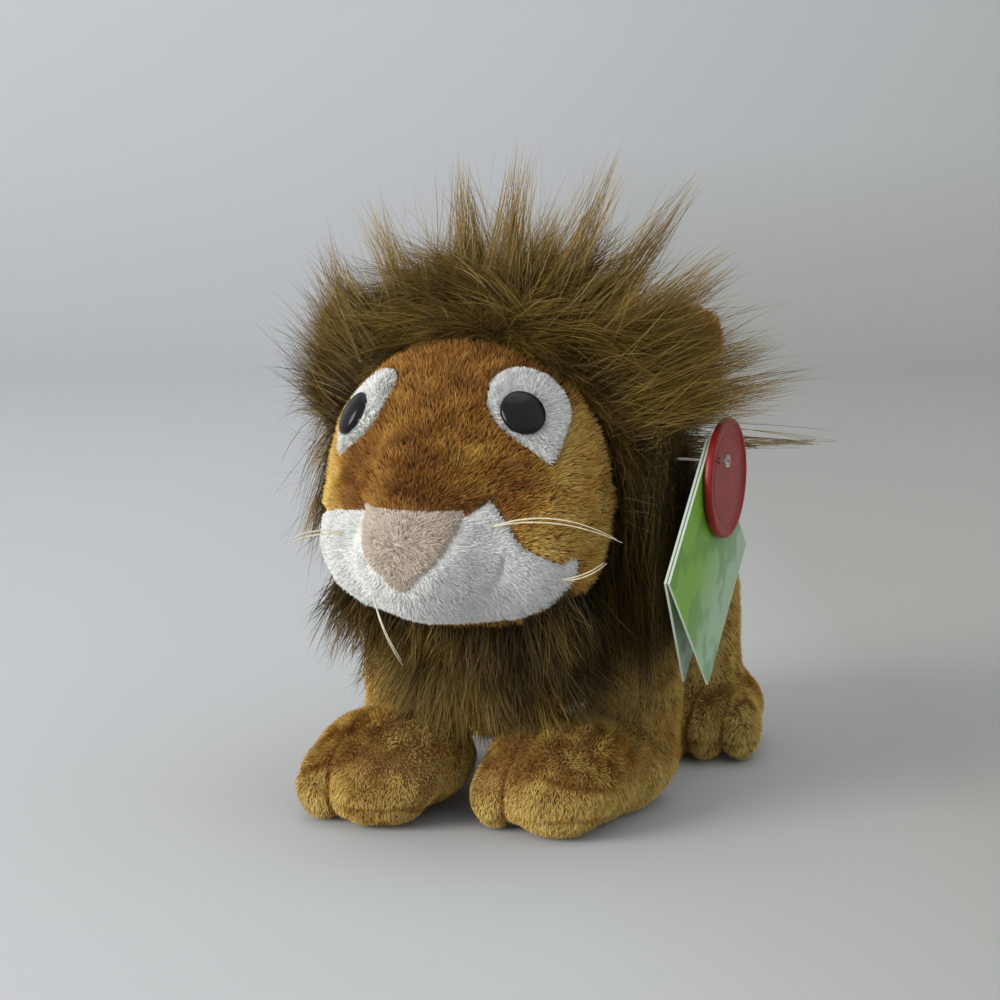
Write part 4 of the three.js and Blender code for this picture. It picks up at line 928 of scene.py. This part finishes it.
points, faces = net(coat, HEAD - (80, 20, 70), HEAD + (80, 90, 92), step=2.0)
centres = points[faces].mean(1) - HEAD
for name, keep in mane_panels(centres).items():
    add_piece(name + "_coat", *part_of(points, faces, keep), mane_cloth, "head", "mane_fur", (name,))


low_limit, high_limit = (np.array(corner) * 1000 - SHIFT for corner in cad_box)
margin = (high_limit - low_limit) * 0.03 + 8
TAG_ROOM = 64


def in_box(p):
    return np.clip(p, low_limit - margin, high_limit + margin)


def mane_limit(p):
    """Keeps strands on top of the torso or inside its collar, and out of the tag's room."""
    reach = norm(p - HEAD)
    aim = unit(p - HEAD)
    room = ramp(torso_form(HEAD + aim * (COLLAR + 3)) / 3)
    most = np.where(room < 1, COLLAR - 2 + 60 * room, 999)
    p = HEAD + aim * np.minimum(reach, most)[:, None]
    over = (norm(p - HEAD) > COLLAR - 1) & (p[:, 2] > 60)
    for _ in range(2):
        value, slope = gradient(torso_form, p)
        push = np.where(over, np.clip(1.2 - value, 0, 8), 0)
        p = p + unit(slope) * push[:, None]
    x, y, z = p.T
    x = np.where(x < -FAR_SIDE, 0.5 * (x - FAR_SIDE), x)
    by_tag = (z < TAG_HOLE[1] + 12) & (y < 4) | (z < TAG_HOLE[1] - 2)
    pressed = TAG_ROOM + 0.1 * np.minimum(x - TAG_ROOM, 20)
    p[:, 0] = np.where(by_tag, np.minimum(x, pressed), x)
    return in_box(p)


def long_pile(name, guides, normals, flow, length, tint, body="head", limit=mane_limit,
              children=12, spread=2.4, gather=0.5, droop=0.3, wild=0.1, width=0.26, levels=6, nodes=()):
    """Tufts of long strands: each guide carries children that come together towards its tip.

    In millimetres, children spread that far from their guide at the root, and wild is how much of a
    strand's length its tip may stray.
    """
    count = len(guides)
    total = count * children
    owner = np.repeat(np.arange(count), children)
    share = np.linspace(0, 1, levels)[None, :, None]
    start = unit(normals * 0.5 + flow + chance.normal(0, 0.16, guides.shape))
    later = unit(flow + chance.normal(0, 0.24, guides.shape) + np.array((0, 0, -droop)))
    size = (length * chance.uniform(0.8, 1.2, count))[:, None, None]
    path = (guides[:, None] + bent(start, later, size, share))[owner]
    offset = across_only(chance.normal(0, 1, (total, 3)) * spread, normals[owner])
    close = 1 - gather * chance.uniform(0.2, 1.4, (count, 1, 1))[owner] * share
    stray = chance.normal(0, 1, (total, 1, 3)) * share ** 1.6 * wild * size[owner]
    phase = chance.uniform(0, 2 * math.pi, (total, 1, 3))
    turns = chance.uniform(3, 8, (total, 1, 1))
    frizz = np.sin(phase + share * turns) * share * chance.uniform(0.2, 1.1, (total, 1, 1))
    reach = chance.uniform(0.4, 1.1, total)[:, None, None]
    path = path[:, :1] + (path - path[:, :1]) * reach + offset[:, None] * close + stray + frizz
    path = limit(path.reshape(-1, 3)).reshape(path.shape)
    shade = tint_of(tint[owner], 0.11, total)
    thick = width * chance.uniform(0.6, 1.25, total)
    points, faces, uv = ribbons(path, normals[owner], thick, shade)
    add_piece(name, points, faces, mane_pile, body, "mane_fur", nodes, uv=uv)


def mane_edge(aim):
    """1 in the band along the hairline that is combed round the face, 0 further back."""
    return 1 - ramp((rake_of(aim) - mane_front(aim) - 14) / 26)


def hanging(aim):
    """1 where the pile hangs, beside and under the head, and 0 over it."""
    return ramp((0.45 - aim[:, 2]) / 0.4)


def mane_flow(aim, jitter=0):
    """Sideways from the parting in front, standing out further back, hanging beside and under the head."""
    around = unit(aim * (1, 0, 1))
    sweep = np.clip((aim[:, 0] * HEAD_HALVES[0] - PARTING + jitter) / 5, -1, 1)
    tangent = np.stack((around[:, 2] * sweep, 0 * sweep, -around[:, 0] * sweep), -1)
    level = np.stack((sweep, 0 * sweep, 0 * sweep), -1) * ramp(sweep)[:, None]
    edge, low = mane_edge(aim), hanging(aim)
    comb = unit(tangent + 0.7 * level * (1 - low)[:, None] + 1e-6) * np.abs(sweep)[:, None]
    back = np.zeros_like(aim)
    back[:, 1] = (0.1 + 0.45 * ramp(rake_of(aim) / 60) - 0.4 * edge) * (1 - low) - 0.1 * low
    stand = (1 - 0.72 * edge) * (1 - 0.75 * low)
    behind = ramp((rake_of(aim) - 42) / 26)
    hang = np.array((0, 0, -1.0)) * np.maximum(low, 0.9 * behind)[:, None]
    return unit(around * stand[:, None] + 1.15 * comb * np.maximum(edge, 0.3 * low)[:, None] + back + hang)


def mane_length(aim):
    """Long over the face and where the pile hangs, shorter on the crown and on the lion's right."""
    low, far = hanging(aim), ramp((-aim[:, 0] - 0.3) / 0.4)
    hang = 34 * low * ramp((1.1 - np.abs(aim[:, 2])) / 0.8) + 10 * ramp((rake_of(aim) - 42) / 26)
    return (6 + 0.24 * mane_depth(aim) + 15 * mane_edge(aim) * (1 - low) + hang) * (1 - 0.48 * far)


for kind, density, children, size, gather in (("strands", 0.16, 11, 1, 0.5), ("tufts", 0.032, 44, 1.3, 0.95)):
    guides = scatter(points, faces, density)
    guides = guides[head_form(guides) > 0.25 * COAT_SHARE * MANE_EDGE]
    local = guides - HEAD
    aim = unit(local)
    normals = normals_at(head_form, guides)
    length = mane_length(aim) * (1 + 0.25 * waves(guides, 14, 51)) * size
    tint = 0.36 + 0.2 * waves(guides, 12, 52)
    # Lighter towards the top; painted shade where the pile hangs and towards the lion's left
    tint = tint + 0.1 * ramp(aim[:, 2]) - 0.24 * hanging(aim) - 0.1 * ramp(aim[:, 0])
    flow = mane_flow(aim, chance.normal(0, 6, len(aim)))
    for name, keep in mane_panels(local).items():
        long_pile(
            name + "_" + kind, guides[keep], normals[keep], flow[keep], length[keep], tint[keep],
            children=children // 2 if name == "mane_throat" else children,
            spread=2.2 * size ** 2, gather=gather, width=0.21, wild=0.07,
        )


def mane_direction(clock, rake):
    """Aims from the head's middle: clock turns round its axis from the top, and rake leans back."""
    clock, rake = np.radians(clock), np.radians(rake)
    return np.stack((np.sin(clock) * np.cos(rake), np.sin(rake), np.cos(clock) * np.cos(rake)), -1)


def over_skull(aims, height):
    return HEAD + aims * (surface_reach(head_form, HEAD, aims) + height)[:, None]


# The hairline: a fringe from the skin just in front of the coat, that falls a little over the forehead
for label, start, end in (("left", 0, 150), ("right", -150, 0)):
    clock = chance.uniform(start, end, 1400)
    aims = mane_direction(clock, 0 * clock)
    front = mane_front(aims) + chance.uniform(-3, 8, len(clock))
    aims = mane_direction(clock, front)
    guides = over_skull(aims, -BASE)
    flow = mane_flow(aims, chance.normal(0, 9, len(aims)))
    low = hanging(aims)
    far = ramp((-aims[:, 0] - 0.3) / 0.4)
    flow[:, 1] += chance.normal(-0.15, 0.22, len(clock)) * (1 - low)
    length = (17 + 5 * waves(guides, 9, 53) + 20 * low) * (1 - 0.35 * far)
    # Painted shade: darker where the fringe hangs beside and under the head
    tint = 0.36 + 0.2 * waves(guides, 8, 54) - 0.12 * low
    long_pile(
        "hairline_" + label + "_strands", guides, normals_at(head_form, guides), unit(flow), length, tint,
        children=10, spread=1.6, width=0.21, droop=0.6,
    )


# Under the chin the pile hangs over the ruff, and beside the head it stands in front of the ears
aims = mane_direction(chance.uniform(128, 232, 900), chance.uniform(-24, 6, 900))
guides = over_skull(aims, -BASE)
flow = np.array((0, -0.35, -1.0)) + aims * (0.7, 0, 0) + chance.normal(0, 0.15, aims.shape)
length = 20 + 5 * waves(guides, 9, 55)
# Painted shade: darker towards the lion's left, below the cheek
tint = 0.36 + 0.2 * waves(guides, 8, 56) - 0.25 * ramp(guides[:, 0] / 16)
long_pile(
    "chin_strands", guides, normals_at(head_form, guides), unit(flow), length, tint,
    limit=in_box, children=10, spread=1.8, gather=0.4,
)
for label, count in (("right", 620), ("left", 420)):
    ear_root = joint_place("ear_" + label + "_flop")
    out = unit(ear_root - HEAD)
    aside = unit(np.cross(out, (0, 1, 0)))
    guides = ear_root - out * 4 + np.outer(chance.uniform(-16, 16, count), aside)
    guides[:, 1] -= chance.uniform(7, 17, count)
    aims = unit(guides - HEAD)
    guides = over_skull(aims, 3)
    long_pile(
        "ear_" + label + "_tufts", guides, aims, unit(out + 0.25 * aims + np.array((0, -0.1, -0.1))),
        chance.uniform(30, 54, count), 0.4 + 0.2 * waves(guides, 9, 57), spread=2.2, gather=0.4, width=0.22,
    )


# Beside the face the pile hangs down over the shoulders, fuller on the lion's left
for side, label, count, out, drop in ((-1, "right", 700, 0.05, 32), (1, "left", 1400, 0.5, 46)):
    clock = side * chance.uniform(50, 118, count)
    rake = chance.uniform(8, 64, count)
    aims = mane_direction(clock, rake)
    guides = over_skull(aims, 0.25 * mane_depth(aims))
    rear = ramp((rake - 36) / 20)
    flow = np.stack((side * (out + 0.5 * rear), 0.35 * rear - 0.25, -1 + 0 * clock), -1)
    length = (drop + 0.5 * (guides[:, 2] - HEAD[2])) * (1 + 0.2 * waves(guides, 10, 58))
    # The curtain's low, dark tint is painted shade under the mane
    long_pile(
        "mane_" + label + "_curtain", guides, aims, flow + chance.normal(0, 0.12, aims.shape), length,
        0.14 + 0.18 * waves(guides, 8, 59), children=13, spread=2.2, gather=0.6, width=0.21, droop=0.5,
    )


# Tufts that stand out of the mane, and fine stray strands round it
def lock_strands(name, locks, children=170):
    clock, rake, length_share, droop_share = (np.array(column, float) for column in zip(*locks))
    aims = mane_direction(clock, rake)
    depth = mane_depth(aims)
    root = over_skull(aims, COAT_SHARE * depth)
    tip = over_skull(aims, depth + length_share * LOCK) - np.outer(droop_share * LOCK, (0, 0, 1))
    middle = over_skull(aims, 0.75 * depth + length_share * LOCK / 2)
    owner = np.repeat(np.arange(len(locks)), children)
    total = len(owner)
    t = np.linspace(0, 1, 7)[None, :, None]
    path = bezier(root[:, None], middle[:, None], tip[:, None], t)[owner]
    offset = across_only(chance.normal(0, 1, (total, 3)) * 5.5, aims[owner])
    spread = offset[:, None] * (1 - 0.72 * t ** 0.8)
    stray = chance.normal(0, 2.6, (total, 1, 3)) * t ** 1.5
    size = chance.beta(2.2, 1.7, total)[:, None, None] * 1.05
    path = path[:, :1] + (path - path[:, :1]) * size + spread + stray
    path = mane_limit(path.reshape(-1, 3)).reshape(path.shape)
    shade = tint_of(0.5 + 0.3 * (size[:, 0, 0] - 0.5), 0.14, total)
    points, faces, uv = ribbons(path, aims[owner] * (1, 0.2, 1) + (0, -1, 0), np.full(total, 0.22), shade)
    add_piece(name, points, faces, mane_pile, "head", "mane_fur", uv=uv)


for name, locks in (("crown", CROWN_LOCKS), ("left", LEFT_LOCKS), ("right", RIGHT_LOCKS)):
    lock_strands("mane_" + name + "_locks", locks)

STRAYS = 2600
aims = mane_direction(chance.uniform(-112, 100, STRAYS), chance.uniform(0, 62, STRAYS))
guides = over_skull(aims, 0.55 * mane_depth(aims))
flow = unit(unit(aims * (1, 0, 1)) + np.array((0, 0.2, 0)) + chance.normal(0, 0.22, aims.shape))
# The strays' pale tint is painted light: a glow on fine backlit strands
long_pile(
    "mane_stray_strands", guides, aims, flow, chance.uniform(16, 44, STRAYS), np.full(STRAYS, 0.8),
    children=3, spread=2.5, gather=0.3, wild=0.16, width=0.13, droop=0.15,
)


# Chest ruff
def ruff_coat(p):
    x, y, z = p.T
    sx, sy, sz = FRONT["seam"]
    beside = [meet(sx - side * x, sy - RUFF_LEG_ROOM - y, z - sz) for side, _ in SIDES]
    return meet(
        ellipsoid(*RUFF)(p) + 5, *(-room for room in beside), *(-room(p) for room in front_pockets),
        COLLAR + 0.8 - norm(p - HEAD), GAP + BASE - 1 - torso_form(p), RUFF_FLOOR - z,
    )


points, faces = net(ruff_coat, (-48, -76, 40), (48, -10, 90), step=1.8)
add_piece("chest_ruff_coat", points, faces, mane_cloth, "torso", "mane_fur", ("chest_ruff",))


def ruff_limit(p):
    reach = np.linalg.norm(p - HEAD, axis=-1, keepdims=True)
    return in_box(HEAD + (p - HEAD) * np.maximum(1, (COLLAR + 0.5) / np.maximum(reach, 1)))


guides = scatter(points, faces, 0.17)
normals = normals_at(ellipsoid(*RUFF), guides)
ahead = normals[:, 1] < 0.1
guides, normals = guides[ahead], normals[ahead]
spread_out = 0.9 * guides[:, 0] / 40 + 0.4 * ramp((guides[:, 0] + 20) / 40)
flow = np.stack((spread_out, -0.2 + 0 * spread_out, -1 + 0 * spread_out), -1)
length = 24 + 6 * waves(guides, 12, 61) - 9 * ramp((-8 - guides[:, 0]) / 24) - 3 * ramp(guides[:, 0] / 20)
# Painted shade: darker on the lion's left and high up, in the shadow below the cheek
dark = ramp((guides[:, 0] + 2) / 20) * ramp((guides[:, 2] - 46) / 14)
tint = 0.5 + 0.2 * waves(guides, 10, 62) - 0.45 * dark
long_pile(
    "chest_ruff_strands", guides, normals, unit(flow) * 1.2, length, tint, "torso", ruff_limit, children=14,
)


# Tail and its tuft
tail_pivot = joint_place("tail_swing")
controls = np.array([
    (0, y, z) for y, z in (
        (0, 0), (TAIL_REACH / 2, TAIL_RADIUS / 2), (TAIL_REACH, -TAIL_DROP / 3), (TAIL_REACH, -TAIL_DROP),
    )
])


def smooth_line(controls, count):
    """A Catmull-Rom line through the controls."""
    ends = np.concatenate(([2 * controls[0] - controls[1]], controls, [2 * controls[-1] - controls[-2]]))
    t = np.linspace(0, len(controls) - 1 - 1e-6, count)
    i = t.astype(int)
    t = (t - i)[:, None]
    a, b, c, d = (ends[i + k] for k in range(4))
    square, cube = 2 * a - 5 * b + 4 * c - d, 3 * b - a - 3 * c + d
    return 0.5 * (2 * b + (c - a) * t + square * t ** 2 + cube * t ** 3)


tail_line = tail_pivot + smooth_line(controls, 40)


def tail_cover(p):
    near = np.min(norm(p[:, None] - tail_line[None]), axis=1)
    return near - TAIL_RADIUS + 1.2


points, faces = net(tail_cover, tail_pivot - (10, 10, 56), tail_pivot + (10, 42, 14), step=1.2)
add_piece("tail_cover", points, faces, tan_cloth, "tail", "tan_plush", ("tail",), fill=0.8)
density, size, width = PILES["tail"]
roots = scatter(points, faces, density)
normals = normals_at(tail_cover, roots)
nearest = np.argmin(norm(roots[:, None] - tail_line[None]), axis=1)
along = unit(np.gradient(tail_line, axis=0))[nearest]
length = size * ramp((roots[:, 1] - tail_pivot[1]) / 6)
warm = 0.5 + 0.2 * waves(roots, 9, 71)
short_pile("tail_pile", roots, normals, along, length, width, warm, tan_pile, "tail", "tan_plush")
tip = tail_line[-1]
angle = chance.uniform(0, 2 * math.pi, 260)
height = chance.uniform(-2, 6, 260)
normals = np.stack((np.cos(angle), np.sin(angle), 0 * angle), -1)
guides = tip + normals * (TAIL_RADIUS - 2) + np.stack((0 * height, 0 * height, height), -1)
flow = np.array((0, 0, -1.3)) + 0 * guides
long_pile(
    "tail_tuft_strands", guides, normals, flow, np.full(260, 24.0), np.full(260, 0.45), "tail", in_box,
    children=12, spread=1.6, gather=0.7, nodes=("tail_tuft",),
)


# Neck: a loose plug of fibre between the head and the torso
neck_low, neck_high = (np.array(corner) * 1000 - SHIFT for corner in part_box("neck_stuffing"))
neck_middle = (neck_low + neck_high) / 2
neck_line = unit(np.array((0, math.cos(math.radians(40)), -math.sin(math.radians(40)))))


def neck_form(p):
    local = p - HEAD
    along = local @ neck_line
    away = norm(local - along[:, None] * neck_line)
    ends = np.abs(along - (neck_middle - HEAD) @ neck_line) - 17
    return np.maximum(away - 13 - 0.4 * waves(p, 7, 81), ends) + 0.3


points, faces = net(neck_form, neck_low - 2, neck_high + 2, step=1.2)
add_piece("neck_stuffing_wool", points, faces, white_cloth, "neck", "fibre", ("neck_stuffing",), fill=0.7)


# Whiskers: two fine bent filaments each, that taper to their tips
WHISKERS = dict(
    whisker_left_upper=((0.52, -1.02, -0.19), (0.95, -1.02, -0.02), (1.3, -0.8, -0.22)),
    whisker_left_lower=((0.76, -0.55, -0.5), (0.98, -0.62, -0.52), (1.16, -0.62, -0.4)),
    whisker_right_upper=((-0.56, -0.98, -0.28), (-0.8, -1.1, -0.26), (-0.96, -0.92, -0.36)),
    whisker_right_lower=((-0.3, -1.2, -0.62), (-0.2, -1.24, -0.86), (-0.06, -1.12, -1.05)),
)
whisker_material = cloth_material("whisker_filament", srgb(196, 184, 156), srgb(228, 218, 192), 500)
for name, shares in WHISKERS.items():
    places = np.array(shares) * HEAD_HALVES
    direction = unit(places[:1])
    start = direction[0] * (surface_reach(head_form, HEAD, direction)[0] - 2.5)
    places = places + np.outer((1, 0.5, 0), start - places[0])
    t = np.linspace(0, 1, 24)[:, None]
    line = HEAD + bezier(*places, t)
    lift = np.array((0, 0, 1.0)) * np.sin(math.pi * t * 0.8) * (0.9 if "upper" in name else 0.6)
    lines = np.stack((line + lift, line - 0.6 * lift + 0.5 * t * (places[2] - places[0]) / 12))
    along = unit(np.gradient(lines, axis=1))
    across = unit(np.cross(along, (0.3, 0.5, 0.81)))
    points, faces = round_forms(lines, across, np.cross(along, across), 0.27 - 0.19 * t[:, 0] ** 2, 6)
    add_piece(name + "_filaments", points, faces, whisker_material, "head", "whisker", (name,))


# Hang tag: printed card leaves with a cut white edge, a moulded disc and a clear pin
def card_material(name, first, second, dark, bands):
    """A print that runs from one colour to another with soft wavy bands, and pale cut edges."""
    material, shader, tree = new_material(name, 0.4)
    place = add_node(tree, "TexCoord", {}, "Object")
    shade = add_range(tree, add_dot(tree, place, (0, 8.5, -8.5)), -1.5, -0.75)
    colours = add_ramp(tree, shade, ((0, first), (0.35, first), (0.75, second), (1, second)))
    wave_inputs = {"Vector": place, "Scale": bands, "Distortion": 6, "Detail": 2, "Detail Scale": 1.4}
    stripes = add_ramp(tree, add_node(tree, "TexWave", wave_inputs, "Fac"), ((0.62, grey(0)), (0.9, grey(1))))
    strength = add_node(tree, "Math", {0: stripes, 1: 0.45}, "Value", operation="MULTIPLY")
    printed = add_mix(tree, strength, colours, dark)
    sideways = add_dot(tree, add_node(tree, "NewGeometry", {}, "Normal"), (1, 0, 0))
    level = add_node(tree, "Math", {0: sideways}, "Value", operation="ABSOLUTE")
    edge = add_ramp(tree, level, ((0.6, grey(1)), (0.7, grey(0))))
    tree.links.new(add_mix(tree, edge, printed, srgb(190, 200, 182)), shader.inputs["Base Color"])
    add_relief(tree, shader, place, 900, 0.2, 0.0001)
    return material


green_print = card_material("green_print", srgb(120, 176, 44), srgb(168, 196, 160), srgb(70, 128, 40), 40)
mint_print = card_material("mint_print", srgb(120, 148, 120), srgb(176, 200, 178), srgb(44, 84, 52), 55)
set_material("tag_front_leaf", green_print)
set_material("tag_back_leaf", mint_print)

DISC_RADIUS = 20
DISC_FRONT = 80.0
DISC_BACK = 77.4
DISC_HOLE = 1.1
disc_middle = np.array((0, TAG_HOLE[0] + 10, TAG_HOLE[1] - 7))
tag_hole = np.array((0, *TAG_HOLE))


def disc_form(p):
    flat = p * (0, 1, 1)
    away = norm(flat - disc_middle)
    dish = 0.6 * ramp((DISC_RADIUS - 1.6 - away) / 0.8)
    front = DISC_FRONT - dish - 0.2 * ridge((away - 15.5) / 0.5)
    slab = np.maximum(p[:, 0] - front, DISC_BACK - p[:, 0])
    plate = -soft_min(-(away - DISC_RADIUS), -slab, 0.9)
    return np.maximum(plate, DISC_HOLE - norm(flat - tag_hole))


red_tints = ((0.3, srgb(128, 22, 18)), (0.7, srgb(158, 32, 26)))
red_material = mottled_material(
    "red_plastic", red_tints, roughness=0.32, specular=0.3, scale=120, detail=3, relief=(700, 0.12, 0.0002),
)
low = disc_middle + (76, -DISC_RADIUS - 1, -DISC_RADIUS - 1)
high = disc_middle + (81.4, DISC_RADIUS + 1, DISC_RADIUS + 1)
points, faces = net(disc_form, low, high, step=0.45)
add_piece("red_disc_moulding", points, faces, red_material, "disc", "red_plastic", ("red_disc",))

pin_tints = ((0.3, srgb(206, 200, 192)), (0.7, srgb(228, 224, 216)))
pin_material = mottled_material("pin_plastic", pin_tints, roughness=0.25, specular=0.5, scale=300)
pin_shader = pin_material.node_tree.nodes["Principled BSDF"]
pin_shader.inputs["Transmission Weight"].default_value = 0.8
pin_shader.inputs["IOR"].default_value = 1.35
pin_aim = np.array(((1.0, 0, 0),))
pin_start = surface_reach(head_form, tag_hole, pin_aim)[0] - BASE
profile = [
    (0.01, pin_start), (0.5, pin_start), (0.5, 81.7), (0.6, 81.95), (1.9, 82.05), (2.2, 82.4), (1.9, 82.9),
    (0.9, 83.15), (0.01, 83.2),
]
points, faces = turned(profile, tag_hole, np.array((0, 1.0, 0)), np.array((0, 0, 1.0)), pin_aim[0], 20)
add_piece("tag_pin_moulding", points, faces, pin_material, "head", "white_plastic", ("tag_pin",))


# Floor and light, with painted light falloff in the floor's and backdrop's colour
stage_material, shader, tree = new_material("stage_paint_with_painted_falloff", 0.9)
place = add_node(tree, "NewGeometry", {}, "Position")
height = add_node(tree, "SeparateXYZ", {"Vector": place}, "Z")
aside = add_dot(tree, place, right)
# Painted light: the stage grows lighter and a little bluer higher up, and darker towards the right, most on
# the floor
painted_light_height_stops = ((0, srgb(206, 207, 205)), (1, srgb(238, 241, 246)))
floor_painted_falloff_stops = ((0.1, grey(0.92)), (0.5, (0.86, 0.86, 0.85, 1)), (0.75, (0.68, 0.66, 0.6, 1)))
backdrop_painted_falloff_stops = ((0, grey(0.98)), (0.5, grey(0.9)), (1, (0.76, 0.76, 0.73, 1)))
paint = add_ramp(tree, add_range(tree, height, 0.1, 1.4), painted_light_height_stops)
near = add_ramp(tree, add_range(tree, aside, -0.3, 0.3), floor_painted_falloff_stops)
far = add_ramp(tree, add_range(tree, aside, -0.7, 0.7), backdrop_painted_falloff_stops)
shade = add_mix(tree, add_range(tree, height, 0, 0.25), near, far)
tree.links.new(add_mix(tree, 1, paint, shade, "MULTIPLY"), shader.inputs["Base Color"])
DEPTH, HEIGHT, BEND, HALF_WIDTH, FRONT_EDGE = 1.6, 3.0, 0.8, 4.0, -3.0
angles = [math.pi / 2 * i / 12 for i in range(13)]
rows = [(DEPTH + BEND * math.sin(angle), BEND * (1 - math.cos(angle))) for angle in angles]
rows = [(FRONT_EDGE, 0.0)] + rows + [(DEPTH + BEND, HEIGHT)]
away = Vector((-back.x, -back.y, 0)).normalized()
places = []
for along_view, height in rows:
    for aside in (-HALF_WIDTH, HALF_WIDTH):
        places.append(tuple(right * aside + away * along_view + Vector((0, 0, height))))
mesh = bpy.data.meshes.new("stage")
mesh.from_pydata(places, [], [(2 * i, 2 * i + 1, 2 * i + 3, 2 * i + 2) for i in range(len(rows) - 1)])
mesh.polygons.foreach_set("use_smooth", np.ones(len(mesh.polygons), bool))
mesh.materials.append(stage_material)
stage = bpy.data.objects.new("stage", mesh)
bpy.context.scene.collection.objects.link(stage)

world = bpy.data.worlds.new("world")
world.use_nodes = True
sky = world.node_tree.nodes["Background"].inputs
sky["Color"].default_value = srgb(225, 230, 238)
sky["Strength"].default_value = 0.85
bpy.context.scene.world = world


def lamp(name, place, size, power, colour):
    data = bpy.data.lights.new(name, "AREA")
    data.shape = "DISK"
    data.size = size
    data.energy = power
    data.color = colour
    thing = bpy.data.objects.new(name, data)
    bpy.context.scene.collection.objects.link(thing)
    thing.location = head_place + Vector(place)
    aim = head_place - thing.location
    thing.rotation_euler = aim.to_track_quat("-Z", "Y").to_euler()


lamp("key", (-1.3, -1.7, 0.7), size=1.5, power=44, colour=(1, 0.99, 0.97))
lamp("top", (0.1, 0.3, 1.8), size=1.6, power=4, colour=(0.97, 0.98, 1))
